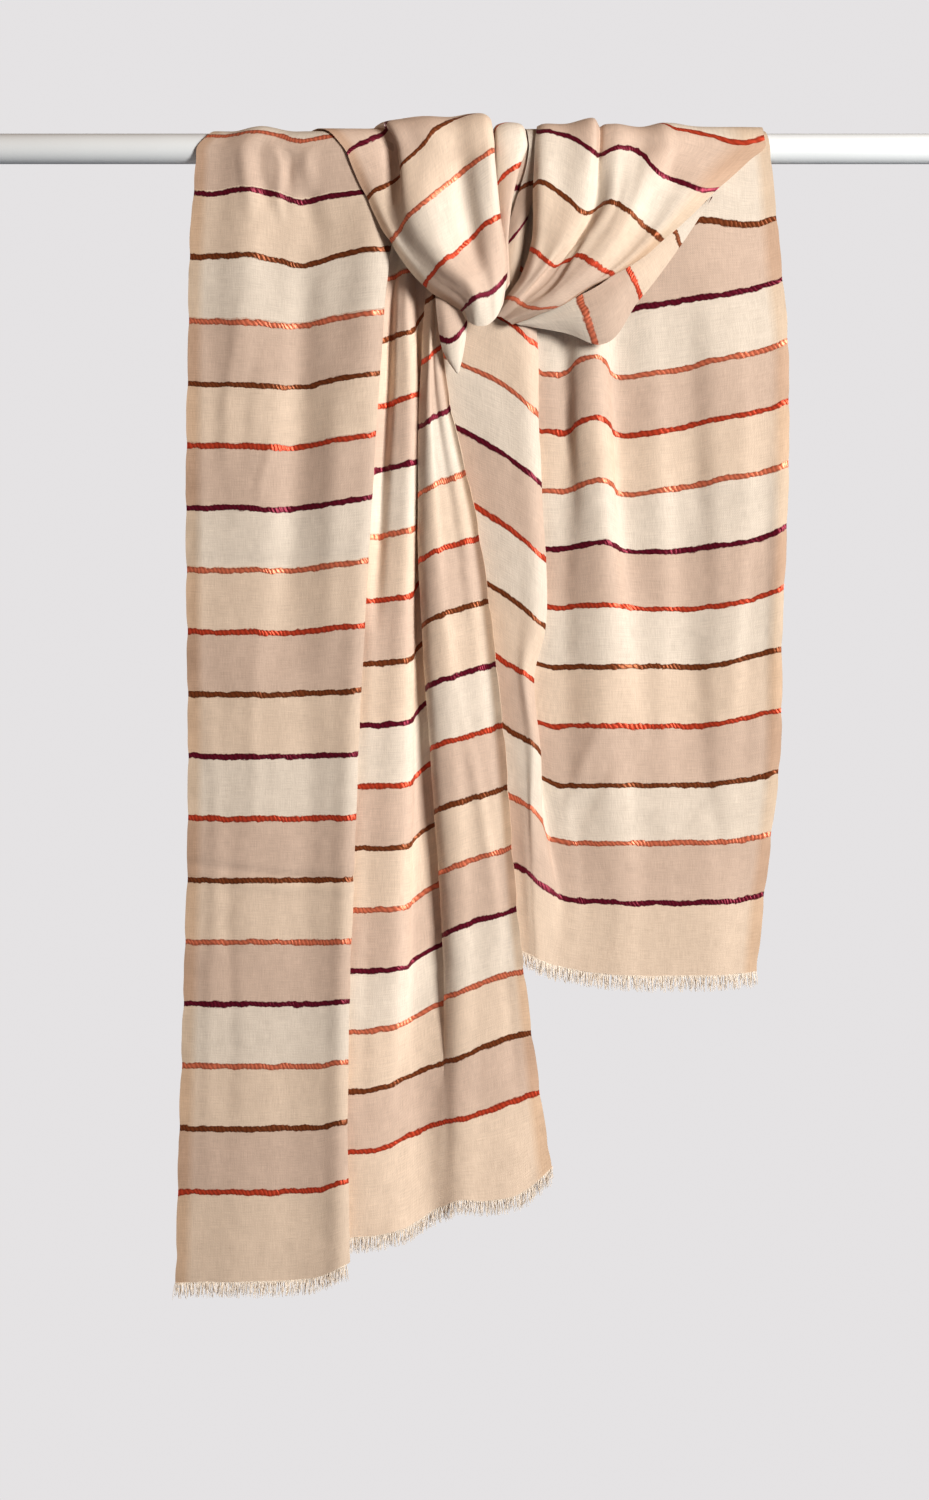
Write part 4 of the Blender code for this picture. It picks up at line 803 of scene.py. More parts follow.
def lengthwise(stretch, fold, path, step):
    """x, y, z and the cut's length at fine steps along one fold line."""
    along, places = whole_line(stretch, fold, path)
    front = fold.rod if path else along[-1]
    longest = max(each.rod or along[-1] for each in stretch.folds) - along[0]
    below = round(longest / step)
    share = 1 - (1 - np.linspace(0, 1, below + 1)) ** CROWDING[path]
    wanted = along[0] + (front - along[0]) * share
    if path:
        known = along[np.searchsorted(along, front):]
        turns = len(TURNS)
        over = np.linspace(0, 180, 2 + round(TURN_LENGTH / step))[1:]
        loop = np.linspace(turns, len(known) - 1, 2 + round(LOOP_DROP / step))[1:]
        wanted = np.concatenate([
            wanted,
            np.interp(over, (0, *TURNS), known[:turns + 1]),
            np.interp(loop, np.arange(len(known)), known),
        ])
    return np.column_stack([curve(along, places, wanted), wanted])


def columns_across(stretch, step):
    """Places across the cloth for the columns of its net: evenly between the fold lines."""
    places = [fold.across for fold in stretch.folds]
    columns = [np.array(places[:1], dtype=float)]
    for here, there in zip(places, places[1:]):
        columns.append(np.linspace(here, there, 1 + max(2, round((there - here) / step)))[1:])
    return np.concatenate(columns)


def cloth_net(stretch, path, step, across=None):
    """Net of places, each one's length along the cut and its place across it."""
    if across is None:
        across = columns_across(stretch, step)
    lines = np.array([lengthwise(stretch, fold, path, step) for fold in stretch.folds])
    known = np.array([fold.across for fold in stretch.folds], dtype=float)
    net = np.array([curve(known, lines[:, row], across) for row in range(lines.shape[1])])
    return net[..., :3], net[..., 3], np.broadcast_to(across, net.shape[:2])


def unit(vectors):
    """Vectors of a net, each brought to length 1."""
    return vectors / np.maximum(np.linalg.norm(vectors, axis=2, keepdims=True), TINY)


def net_normals(net):
    """Unit normal of the cloth at each place of a net."""
    return unit(np.cross(np.gradient(net, axis=1), np.gradient(net, axis=0)))


# Softness of the cloth --------------------------------------------------------------------------------


def crease_height(crease, across, along):
    """How far one crease lifts the cloth, at each place of the cut."""
    run = crease.end - crease.start
    length = np.linalg.norm(run)
    run = run / length
    from_start = np.stack([across - crease.start[0], along - crease.start[1]], axis=-1)
    share = from_start @ run / length
    aside = from_start @ np.array([-run[1], run[0]])
    aside = aside - crease.sway * np.sin(2 * np.pi * SWAY_TURNS * share + crease.start[0])
    inside = (share > 0) & (share < 1)
    ends = np.where(inside, np.sin(np.pi * np.clip(share, 0, 1)) ** CREASE_BLUNTNESS, 0.0)
    return crease.height * ends * np.exp(-((aside / crease.width) ** 2))


def unevenness(net, size, seed):
    """Smooth random field from -1 to 1 over the places of a net, with features of one size."""
    flat = net.reshape(-1, 3) / size
    offset = Vector((seed, 2.0 * seed, 3.0 * seed))
    field = [noise.noise(Vector(place) + offset) for place in flat]
    return np.array(field).reshape(net.shape[:2])


def selvedge_distance(sheet, across):
    """Distance of each place from the nearest selvedge, or far away where the stretch has none."""
    distance = np.full(across.shape, FAR)
    for edge in sheet.edges:
        distance = np.minimum(distance, np.abs(across - edge))
    return distance


def calmness(sheet, along):
    """Share of the unevenness that stays at each place: less of it near the rod."""
    if not sheet.path:
        return np.full(along.shape, 1.0)
    front = min(fold.rod for fold in sheet.stretch.folds)
    return np.clip((front - along) / CALM_REACH, CALM_LEAST, 1.0)


def soften(sheet, net, along, across, settings):
    """Adds the creases, a slight unevenness and the pull of the stripes at the selvedges."""
    seed = SEED_STEP * len(sheet.node) + sheet.stretch.folds[0].across
    calm = calmness(sheet, along)
    lift = np.zeros(across.shape)
    for crease in CREASES.get(sheet.node, ()):
        lift = lift + crease_height(crease, across, along)
    lift = lift + calm * settings.unevenness / MM * (
        unevenness(net, BROAD_SIZE, seed) + FINE_SHARE * unevenness(net, FINE_SIZE, seed + 5.0)
    )
    inward = unit(np.gradient(net, axis=1))
    pitch = settings.stripe_pitch / MM
    from_stripe = (along - sheet.weave["first"]) / pitch
    from_stripe = np.abs(from_stripe - np.round(from_stripe)) * pitch
    pull = np.zeros(across.shape)
    for edge in sheet.edges:
        sign = 1.0 if edge == across.min() else -1.0
        near = np.exp(-np.abs(across - edge) / PULL_REACH)
        drawn = np.exp(-((from_stripe / PULL_LENGTH) ** 2)) + 0.5 * unevenness(net, PULL_SIZE, seed + 9.0)
        pull = pull + sign * near * PULL * drawn
        lift = lift + near * calm * EDGE_WAVE * unevenness(net, EDGE_SIZE, seed + 3.0)
    return net + net_normals(net) * lift[..., None] + inward * pull[..., None]


# Meshes -----------------------------------------------------------------------------------------------


def shell_mesh(name, net, along, across, selvedge, thickness):
    """Closed thin shell round a net, with the cut's coordinates as its UV map, in metres."""
    offset = net_normals(net) * thickness / 2
    rows, columns = net.shape[:2]
    count = rows * columns
    points = np.concatenate([(net + offset).reshape(-1, 3), (net - offset).reshape(-1, 3)]) * MM
    corner = (np.arange(rows - 1)[:, None] * columns + np.arange(columns - 1)).reshape(-1)
    front = np.stack([corner, corner + 1, corner + columns + 1, corner + columns], axis=1)
    back = front[:, ::-1] + count
    border = np.concatenate([
        np.arange(columns - 1),
        np.arange(rows - 1) * columns + columns - 1,
        count - 1 - np.arange(columns - 1),
        np.arange(rows - 1, 0, -1) * columns,
    ])
    following = np.roll(border, -1)
    rim = np.stack([border, border + count, following + count, following], axis=1)
    quads = np.concatenate([front, back, rim])
    mesh = bpy.data.meshes.new(name)
    mesh.from_pydata(points, [], quads)
    cut = np.stack([across, along], axis=-1).reshape(-1, 2) * MM
    cut = np.concatenate([cut, cut])
    layer = mesh.uv_layers.new(name="cut")
    layer.uv.foreach_set("vector", cut[quads.reshape(-1)].astype(np.float32).reshape(-1))
    edge = mesh.attributes.new("selvedge", "FLOAT", "POINT")
    far = np.concatenate([selvedge.reshape(-1)] * 2) * MM
    edge.data.foreach_set("value", far.astype(np.float32))
    mesh.shade_smooth()
    mesh.set_sharp_from_angle(angle=CLOTH_SHARP_ANGLE)
    mesh.validate()
    return mesh


def add_piece(name, mesh, material, node):
    """Puts a finished piece into the scene in place of its solid, on the object's body."""
    piece = bpy.data.objects.new(name, mesh)
    bpy.context.scene.collection.objects.link(piece)
    piece.data.materials.clear()
    piece.data.materials.append(material)
    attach(piece, "root")
    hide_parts(node)
    return piece


# Shader nodes -----------------------------------------------------------------------------------------


class Nodes:
    """Adds and joins the nodes of one tree."""

    def __init__(self, tree):
        self.tree = tree

    def add(self, kind, inputs=None, **settings):
        """New node with its settings, each input joined to a socket or set to a value."""
        node = self.tree.nodes.new(kind)
        for name, value in settings.items():
            setattr(node, name, value)
        for name, value in (inputs or {}).items():
            self.join(value, node.inputs[name])
        return node

    def join(self, value, socket):
        """Joins a socket to another, or sets it to a value."""
        if isinstance(value, bpy.types.NodeSocket):
            self.tree.links.new(value, socket)
        else:
            socket.default_value = value

    def math(self, operation, first, *others):
        """Result of an operation on sockets or numbers, from left to right where there are several."""
        if not others:
            return self.add("ShaderNodeMath", {0: first}, operation=operation).outputs[0]
        for other in others:
            first = self.add("ShaderNodeMath", {0: first, 1: other}, operation=operation).outputs[0]
        return first

    def vector(self, **parts):
        """Vector put together from its x, y and z."""
        inputs = {name.upper(): value for name, value in parts.items()}
        return self.add("ShaderNodeCombineXYZ", inputs).outputs[0]

    def remap(self, value, low, high, start=0.0, end=1.0):
        """Value whose range from start to end is brought to the range from low to high."""
        inputs = {"Value": value, "From Min": start, "From Max": end, "To Min": low, "To Max": high}
        return self.add("ShaderNodeMapRange", inputs).outputs[0]

    def noise(self, place, scale, detail):
        """Soft random number about 0.5 at each place."""
        inputs = {"Vector": place, "Scale": scale, "Detail": detail}
        return self.add("ShaderNodeTexNoise", inputs).outputs[0]

    def blend(self, share, first, second, way="MIX"):
        """Colour between two colours, or the product of both."""
        inputs = {0: share, 6: first, 7: second}
        settings = {"data_type": "RGBA", "clamp_factor": True, "blend_type": way}
        return self.add("ShaderNodeMix", inputs, **settings).outputs[2]

    def brighten(self, colour, share):
        """Colour made lighter or darker by a share that changes over the surface."""
        return self.add("ShaderNodeVectorMath", {0: colour, "Scale": share}, operation="SCALE").outputs[0]

    def bump(self, height, strength, distance):
        """Normal of a surface with a small relief."""
        inputs = {"Height": height, "Strength": strength, "Distance": distance}
        return self.add("ShaderNodeBump", inputs).outputs[0]

    def ramp(self, share, colours):
        """One flat colour after another, in equal steps."""
        node = self.add("ShaderNodeValToRGB", {"Fac": share})
        steps = node.color_ramp
        steps.interpolation = "CONSTANT"
        steps.elements[0].color = colours[0]
        steps.elements[1].position = 1 / len(colours)
        steps.elements[1].color = colours[1]
        for at, colour in enumerate(colours[2:], start=2):
            steps.elements.new(at / len(colours)).color = colour
        return node.outputs["Color"]


def new_group(name, inputs, outputs):
    """Empty shader group with named number sockets: its nodes, its inputs and its output node."""
    tree = bpy.data.node_groups.new(name, "ShaderNodeTree")
    for label, value in inputs.items():
        socket = tree.interface.new_socket(label, in_out="INPUT", socket_type="NodeSocketFloat")
        socket.default_value = value
    for label in outputs:
        tree.interface.new_socket(label, in_out="OUTPUT", socket_type="NodeSocketFloat")
    nodes = Nodes(tree)
    return nodes, nodes.add("NodeGroupInput").outputs, nodes.add("NodeGroupOutput")


def finish_group(nodes, ending, results):
    """Joins each named result to the group's output."""
    for label, socket in results.items():
        nodes.join(socket, ending.inputs[label])
    return nodes.tree


def stripe_group(name):
    """Where the coloured weft stripes lie: which one is nearest, how much of it covers, and its twist."""
    nodes, given, ending = new_group(
        name,
        {"Across": 0.0, "Along": 0.0, "First": 0.0, "Pitch": 0.0435, "Width": 0.004, "Waver": 0.0006},
        ("Step", "Cover", "Twist"),
    )
    place = nodes.vector(x=given["Across"], y=given["Along"])
    wide = nodes.noise(place, 32.0, 1.0)
    middle = nodes.noise(place, 110.0, 1.0)
    fine = nodes.noise(place, 420.0, 2.0)
    knots = nodes.noise(place, 130.0, 2.0)
    # a stripe strays from straight, and its edges are a little ragged
    drift = nodes.math("SUBTRACT", nodes.math("ADD", wide, middle), 1.0)
    jag = nodes.math("MULTIPLY", nodes.math("SUBTRACT", fine, 0.5), STRIPE_JAG)
    stray = nodes.math("ADD", nodes.math("MULTIPLY", drift, STRIPE_DRIFT), jag)
    shift = nodes.math("MULTIPLY", stray, given["Waver"])
    along = nodes.math("ADD", nodes.math("SUBTRACT", given["Along"], given["First"]), shift)
    step = nodes.math("DIVIDE", along, given["Pitch"])
    aside = nodes.math("SUBTRACT", step, nodes.math("ROUND", step))
    away = nodes.math("MULTIPLY", aside, given["Pitch"])
    # its width swells and shrinks along the yarn
    swell = nodes.remap(knots, *STRIPE_SWELL)
    half = nodes.math("MULTIPLY", given["Width"], 0.5, swell)
    inside = nodes.math("SUBTRACT", half, nodes.math("ABSOLUTE", away))
    cover = nodes.remap(nodes.math("DIVIDE", inside, STRIPE_SOFT_EDGE), 0.0, 1.0, -0.5, 0.5)
    # its two plies turn round each other; this twist gives the stripes their relief and their painted shade
    turn = nodes.math(
        "ADD",
        nodes.math("DIVIDE", given["Across"], TWIST_LENGTH),
        nodes.math("DIVIDE", away, TWIST_RISE),
        nodes.math("MULTIPLY", wide, 3.0),
        nodes.math("MULTIPLY", knots, 1.2),
    )
    wave = nodes.math("SINE", nodes.math("MULTIPLY", turn, 2 * math.pi))
    rounded = nodes.math("SUBTRACT", 1.0, nodes.math("POWER", nodes.math("DIVIDE", away, half), 2.0))
    twist = nodes.math("ADD", nodes.math("MULTIPLY", wave, 0.3), nodes.math("MAXIMUM", rounded, 0.0))
    return finish_group(nodes, ending, {"Step": step, "Cover": cover, "Twist": twist})


def drawn_out_noise(nodes, given, across, along, detail):
    """Noise with its own number of patches in a metre across the cut and along it."""
    x = nodes.math("MULTIPLY", given["Across"], across)
    y = nodes.math("MULTIPLY", given["Along"], along)
    return nodes.noise(nodes.vector(x=x, y=y), 1.0, detail)


def weave_group(name):
    """Plain weave of fine uneven threads: its height and how light each place is."""
    nodes, given, ending = new_group(
        name, {"Across": 0.0, "Along": 0.0, "Thread": 0.0005, "Slub": 1.0}, ("Height", "Light")
    )
    warp, weft = (
        nodes.math("SINE", nodes.math("MULTIPLY", nodes.math("DIVIDE", given[way], given["Thread"]), math.pi))
        for way in ("Across", "Along")
    )
    weave = nodes.math("MULTIPLY", warp, weft)
    slubs = [drawn_out_noise(nodes, given, across, along, 2.0) for across, along in SLUB_PATCHES]
    slub = nodes.math("MULTIPLY", nodes.math("SUBTRACT", nodes.math("ADD", *slubs), 1.0), given["Slub"])
    height = nodes.math("ADD", nodes.math("MULTIPLY", weave, 0.5), slub)
    light = nodes.math("ADD", 0.5, nodes.math("ADD", nodes.math("MULTIPLY", weave, 0.08), slub))
    return finish_group(nodes, ending, {"Height": height, "Light": light})


def mottle_group(name):
    """Broad soft patches, as thin cloth shows where it lies thicker or thinner."""
    nodes, given, ending = new_group(name, {"Across": 0.0, "Along": 0.0}, ("Patch",))
    patches = [drawn_out_noise(nodes, given, across, along, 3.0) for across, along in BROAD_PATCHES]
    mean = nodes.math("DIVIDE", nodes.math("ADD", *patches), float(len(patches)))
    return finish_group(nodes, ending, {"Patch": mean})


GROUPS = {"Weft stripes": stripe_group, "Plain weave": weave_group, "Soft patches": mottle_group}


def shared(nodes, name, inputs):
    """Results of a shared group, which is made the first time."""
    tree = bpy.data.node_groups.get(name) or GROUPS[name](name)
    return nodes.add("ShaderNodeGroup", inputs, node_tree=tree).outputs


def toned(colour, tone):
    """Colour made lighter or darker by a share."""
    return (*(part * tone for part in colour[:3]), 1.0)


def new_material(name):
    """Material with its nodes and its shader."""
    material = bpy.data.materials.new(name)
    material.use_nodes = True
    return material, Nodes(material.node_tree), material.node_tree.nodes["Principled BSDF"]


def finish(nodes, shader, values):
    """Joins or sets each named socket of a shader."""
    for name, value in values.items():
        nodes.join(value, shader.inputs[name])


def band_colours(nodes, weave, tone, step, settings):
    """Colour of the ground, colour of the stripe, and 1 where the cut has stripes at all."""
    # every colour of the stretch is scaled by its painted light and shade
    bands = [toned(getattr(settings, band), tone) for band in weave["bands"].split()]
    yarns = [toned(getattr(settings, YARN_COLOURS[letter][0]), tone) for letter in weave["stripes"].split()]
    band_place = nodes.math("DIVIDE", nodes.math("ADD", step, 1.0), float(len(bands)))
    yarn_place = nodes.math("DIVIDE", nodes.math("ADD", step, 0.5), float(len(yarns)))
    after_first = nodes.math("GREATER_THAN", yarn_place, 0.0)
    before_last = nodes.math("LESS_THAN", yarn_place, 1.0)
    inside = nodes.math("MULTIPLY", after_first, before_last)
    return nodes.ramp(band_place, bands), nodes.ramp(yarn_place, yarns), inside


def cloth_material(name, weave, tone, settings):
    """Fine sheer weave in banded colours with silky twisted stripes between the bands."""
    # the stretch's painted light and shade makes all these colours lighter or darker
    material, nodes, shader = new_material(name)
    cut_map = nodes.add("ShaderNodeUVMap", uv_map="cut").outputs[0]
    cut = nodes.add("ShaderNodeSeparateXYZ", {0: cut_map}).outputs
    place = {"Across": cut[0], "Along": cut[1]}
    stripes = shared(nodes, "Weft stripes", {
        **place,
        "First": weave["first"] * MM,
        "Pitch": settings.stripe_pitch,
        "Width": settings.stripe_width,
        "Waver": settings.stripe_waver,
    })
    threads = shared(nodes, "Plain weave", {**place, "Thread": settings.thread, "Slub": 1.0})
    patch = shared(nodes, "Soft patches", place)["Patch"]
    ground, yarn, inside = band_colours(nodes, weave, tone, stripes["Step"], settings)
    cover = nodes.math("MULTIPLY", stripes["Cover"], inside)
    # the selvedge is denser, and its darker strip is partly painted shade, where the edge curls away from the
    # light
    edge = nodes.add("ShaderNodeAttribute", attribute_name="selvedge").outputs["Fac"]
    reach = settings.selvedge_width
    rim = nodes.remap(edge, settings.selvedge_depth, 0.0, reach * 0.5, reach)
    ground = nodes.blend(rim, ground, nodes.blend(1.0, ground, DENSE_AND_SHADED_TINT, "MULTIPLY"))
    # threads and patches vary the ground's lightness; the stripes get painted shade from their twist, darker
    # at the yarn's sides and between its plies, lighter along its crown
    light = nodes.remap(threads["Light"], *THREAD_LIGHT)
    broad = nodes.remap(patch, *PATCH_LIGHT, 0.3, 0.7)
    ground = nodes.brighten(ground, nodes.math("MULTIPLY", light, broad))
    yarn = nodes.brighten(yarn, nodes.remap(stripes["Twist"], *TWIST_PAINTED_SHADE, -0.2, 1.2))
    # the stripes stand up a little from the weave
    raised = nodes.math("MULTIPLY", cover, stripes["Twist"], STRIPE_RELIEF)
    level = nodes.math("MULTIPLY", threads["Height"], nodes.math("SUBTRACT", 1.0, cover))
    height = nodes.math("ADD", level, raised)
    finish(nodes, shader, {
        "Base Color": nodes.blend(cover, ground, yarn),
        "Roughness": nodes.remap(cover, settings.roughness, settings.yarn_roughness),
        "Metallic": nodes.math("MULTIPLY", cover, settings.silk),
        "Tangent": nodes.add("ShaderNodeTangent", direction_type="UV_MAP", uv_map="cut").outputs[0],
        "Normal": nodes.bump(height, 0.6, settings.relief),
        "Anisotropic": 0.7,
        "Anisotropic Rotation": 0.25,
        "Specular IOR Level": 0.35,
        "Sheen Weight": settings.sheen,
        "Sheen Roughness": 0.45,
        "Sheen Tint": linear("#fff0de"),
    })
    return material


def yarn_material(settings):
    """Soft undyed yarn of the fringe, a little uneven from one strand to the next."""
    material, nodes, shader = new_material("fringe_yarn")
    uneven = nodes.noise(nodes.add("ShaderNodeTexCoord").outputs["Object"], 700.0, 2.0)
    share = nodes.remap(uneven, 0.0, 1.0, 0.3, 0.7)
    finish(nodes, shader, {
        "Base Color": nodes.blend(share, toned(settings.cream, 0.95), toned(settings.cream, 1.12)),
        "Normal": nodes.bump(uneven, 0.4, FINE_RELIEF),
        "Roughness": 0.8,
        "Sheen Weight": settings.sheen,
    })
    return material


def paint_material(settings):
    """Smooth pale paint with the faintest orange peel."""
    material, nodes, shader = new_material("rod_paint")
    place = nodes.add("ShaderNodeTexCoord").outputs["Object"]
    peel = nodes.noise(place, 900.0, 2.0)
    wear = nodes.noise(place, 18.0, 4.0)
    share = nodes.remap(wear, 0.0, 1.0, 0.3, 0.7)
    finish(nodes, shader, {
        "Base Color": nodes.blend(share, toned(settings.colour, 0.97), settings.colour),
        "Roughness": nodes.remap(wear, 0.30, 0.42),
        "Normal": nodes.bump(peel, 0.15, FINE_RELIEF),
    })
    return material


# Pieces -----------------------------------------------------------------------------------------------


def make_sheet(sheet, settings):
    """One stretch of cloth as a finished piece."""
    net, along, across = cloth_net(sheet.stretch, sheet.path, settings.net_step / MM)
    net = soften(sheet, net, along, across, settings)
    name = sheet.node + "_cloth"
    mesh = shell_mesh(name, net, along, across, selvedge_distance(sheet, across), settings.thickness / MM)
    material = cloth_material(sheet.node + "_weave", sheet.weave, sheet.tone, settings)
    return add_piece(name, mesh, material, sheet.node)


def hem_line(name, sheet, first, last):
    """Chain of vertices along the part of a hem that carries a fringe."""
    across = np.arange(first, last + HEM_STEP / 2, HEM_STEP)
    net, _, _ = cloth_net(sheet.stretch, sheet.path, HEM_NET_STEP, across)
    mesh = bpy.data.meshes.new(name)
    mesh.from_pydata(net[0] * MM, [(at, at + 1) for at in range(net.shape[1] - 1)], [])
    return bpy.data.objects.new(name, mesh)


def fringe_tree(name):
    """Geometry nodes that hang uneven yarns from a hem."""
    tree = bpy.data.node_groups.new(name, "GeometryNodeTree")
    for label, way, kind, value in (
        ("Geometry", "INPUT", "NodeSocketGeometry", None),
        ("Spacing", "INPUT", "NodeSocketFloat", 0.0005),
        ("Length", "INPUT", "NodeSocketFloat", 0.0105),
        ("Thickness", "INPUT", "NodeSocketFloat", 0.00045),
        ("Lean", "INPUT", "NodeSocketFloat", 0.25),
        ("Seed", "INPUT", "NodeSocketInt", 1),
        ("Material", "INPUT", "NodeSocketMaterial", None),
        ("Geometry", "OUTPUT", "NodeSocketGeometry", None),
    ):
        socket = tree.interface.new_socket(label, in_out=way, socket_type=kind)
        if value is not None:
            socket.default_value = value
    nodes = Nodes(tree)
    given = nodes.add("NodeGroupInput").outputs
    hem = nodes.add("GeometryNodeMeshToCurve", {"Mesh": given["Geometry"]}).outputs[0]
    spaced = {"Curve": hem, "Length": given["Spacing"]}
    points = nodes.add("GeometryNodeResampleCurve", spaced, mode="LENGTH").outputs[0]
    # one yarn: a bent line with a round that thins towards its tip
    bend, half, whole = (nodes.math("MULTIPLY", given["Length"], share) for share in (0.10, -0.5, -1.0))
    line = nodes.add("GeometryNodeCurveQuadraticBezier", {
        "Resolution": 4,
        "Start": (0.0, 0.0, YARN_ROOT),
        "Middle": nodes.vector(x=bend, z=half),
        "End": nodes.vector(z=whole),
    }).outputs[0]
    along = nodes.add("GeometryNodeSplineParameter").outputs["Factor"]
    taper = nodes.remap(along, 1.0, YARN_TIP)
    radius = nodes.math("MULTIPLY", given["Thickness"], 0.5)
    circle = {"Resolution": 4, "Radius": radius}
    profile = nodes.add("GeometryNodeCurvePrimitiveCircle", circle, mode="RADIUS").outputs[0]
    strand = nodes.add("GeometryNodeCurveToMesh", {
        "Curve": nodes.add("GeometryNodeSetCurveRadius", {"Curve": line, "Radius": taper}).outputs[0],
        "Profile Curve": profile,
        "Fill Caps": True,
        "Scale": taper,
    }).outputs[0]
    # each one leans, turns and differs in length by chance
    lean = given["Lean"]
    back = nodes.math("MULTIPLY", lean, -1.0)
    low = nodes.vector(x=back, y=back, z=-math.pi)
    high = nodes.vector(x=lean, y=lean, z=math.pi)
    turned, longer = (
        nodes.add(
            "FunctionNodeRandomValue",
            {"Min": least, "Max": most, "Seed": given["Seed"]},
            data_type="FLOAT_VECTOR",
        ).outputs[0]
        for least, most in ((low, high), (YARN_LEAST, YARN_MOST))
    )
    hung = nodes.add("GeometryNodeInstanceOnPoints", {
        "Points": points, "Instance": strand, "Rotation": turned, "Scale": longer,
    }).outputs[0]
    real = nodes.add("GeometryNodeRealizeInstances", {"Geometry": hung}).outputs[0]
    painted = nodes.add("GeometryNodeSetMaterial", {"Geometry": real, "Material": given["Material"]})
    nodes.add("NodeGroupOutput", {"Geometry": painted.outputs[0]})
    return tree


def bake_tree(piece, tree, values):
    """Plain mesh that a geometry nodes tree makes of an object, whose modifier is removed again."""
    bpy.context.scene.collection.objects.link(piece)
    modifier = piece.modifiers.new(tree.name, "NODES")
    modifier.node_group = tree
    for item in tree.interface.items_tree:
        if item.in_out == "INPUT" and item.name in values:
            modifier[item.identifier] = values[item.name]
    graph = bpy.context.evaluated_depsgraph_get()
    mesh = bpy.data.meshes.new_from_object(piece.evaluated_get(graph))
    piece.modifiers.clear()
    bpy.data.objects.remove(piece)
    return mesh


def make_fringe(node, sheet, first, last, seed, settings, material):
    """Fringe of one hem, of fine yarns that lean and turn by chance."""
    tree = bpy.data.node_groups.get(FRINGE_TREE) or fringe_tree(FRINGE_TREE)
    mesh = bake_tree(hem_line(node + "_hem", sheet, first, last), tree, {
        "Spacing": settings.spacing,
        "Length": settings.length,
        "Thickness": settings.thickness,
        "Lean": settings.lean,
        "Seed": seed,
        "Material": material,
    })
    return add_piece(node + "_yarns", mesh, material, node)


def quarter(steps):
    """Share of the way in and of the way up at even steps of a quarter round."""
    angles = [math.radians(90 * step / steps) for step in range(steps + 1)]
    return [(1 - math.cos(angle), math.sin(angle)) for angle in angles]


def make_rod(settings):
    """Round rod of the CAD solid's size, with softly rounded ends."""
    low, high = ROD_BOX
    radius = (high.z - low.z) / 2
    soft = settings.soft_edge
    end = [(soft * inward, radius - soft * (1 - outward)) for inward, outward in quarter(4)]
    profile = [(low.x + inward, size) for inward, size in end]
    profile += [(high.x - inward, size) for inward, size in reversed(end)]
    angles = [2 * math.pi * side / settings.sides for side in range(settings.sides)]
    shape = bmesh.new()
    rings = [
        [shape.verts.new((x, size * math.cos(angle), size * math.sin(angle))) for angle in angles]
        for x, size in profile
    ]
    for here, there in zip(rings, rings[1:]):
        for side in range(settings.sides):
            after = (side + 1) % settings.sides
            shape.faces.new((here[side], there[side], there[after], here[after]))
    shape.faces.new(rings[0])
    shape.faces.new(rings[-1][::-1])
    bmesh.ops.recalc_face_normals(shape, faces=shape.faces)
    mesh = bpy.data.meshes.new("rod_painted")
    shape.to_mesh(mesh)
    shape.free()
    mesh.shade_smooth()
    mesh.set_sharp_from_angle(angle=ROD_SHARP_ANGLE)
    return add_piece("rod_painted", mesh, paint_material(settings), "rod")


# Stage ------------------------------------------------------------------------------------------------


def aim(thing, target):
    """Turns a lamp so that it looks at a place."""
    thing.rotation_euler = (Vector(target) - thing.location).to_track_quat("-Z", "Y").to_euler()


def softbox(name, place, target, size, power, colour):
    """Large soft lamp."""
    lamp = bpy.data.lights.new(name, "AREA")
    lamp.shape = "RECTANGLE"
    lamp.size, lamp.size_y = size
    lamp.energy = power
    lamp.color = colour[:3]
    holder = bpy.data.objects.new(name, lamp)
    holder.location = place
    bpy.context.scene.collection.objects.link(holder)
    aim(holder, target)


def make_backdrop(settings):
    """Pale floor that rises in one soft curve into a wall, far behind the object."""
    floor = settings.floor_height
    line = [(STAGE_FRONT, floor)]
    for rise, run in quarter(12):
        line.append((STAGE_WALL - STAGE_BEND + STAGE_BEND * run, floor + STAGE_BEND * rise))
    line.append((STAGE_WALL, STAGE_TOP))
    points = [(side, y, z) for y, z in line for side in (-STAGE_HALF, STAGE_HALF)]
    faces = [(2 * at, 2 * at + 1, 2 * at + 3, 2 * at + 2) for at in range(len(line) - 1)]
    mesh = bpy.data.meshes.new("backdrop")
    mesh.from_pydata(points, [], faces)
    mesh.shade_smooth()
    material, nodes, shader = new_material("backdrop")
    seen = nodes.add("ShaderNodeLightPath").outputs["Is Camera Ray"]
    finish(nodes, shader, {
        "Emission Strength": nodes.remap(seen, settings.bounce, 1.0),
        "Emission Color": settings.backdrop,
        "Base Color": BLACK,
        "Specular IOR Level": 0.0,
        "Roughness": 1.0,
    })
    mesh.materials.append(material)
    backdrop = bpy.data.objects.new("backdrop", mesh)
    bpy.context.scene.collection.objects.link(backdrop)


def make_world(settings):
    """Even soft light from all round, seen by the camera as the backdrop's colour."""
    world = bpy.data.worlds.new("studio")
    world.use_nodes = True
    nodes = Nodes(world.node_tree)
    shader = world.node_tree.nodes["Background"]
    seen = nodes.add("ShaderNodeLightPath").outputs["Is Camera Ray"]
    nodes.join(nodes.remap(seen, settings.fill, 1.0), shader.inputs["Strength"])
    nodes.join(nodes.blend(seen, settings.fill_colour, settings.backdrop), shader.inputs["Color"])
    bpy.context.scene.world = world


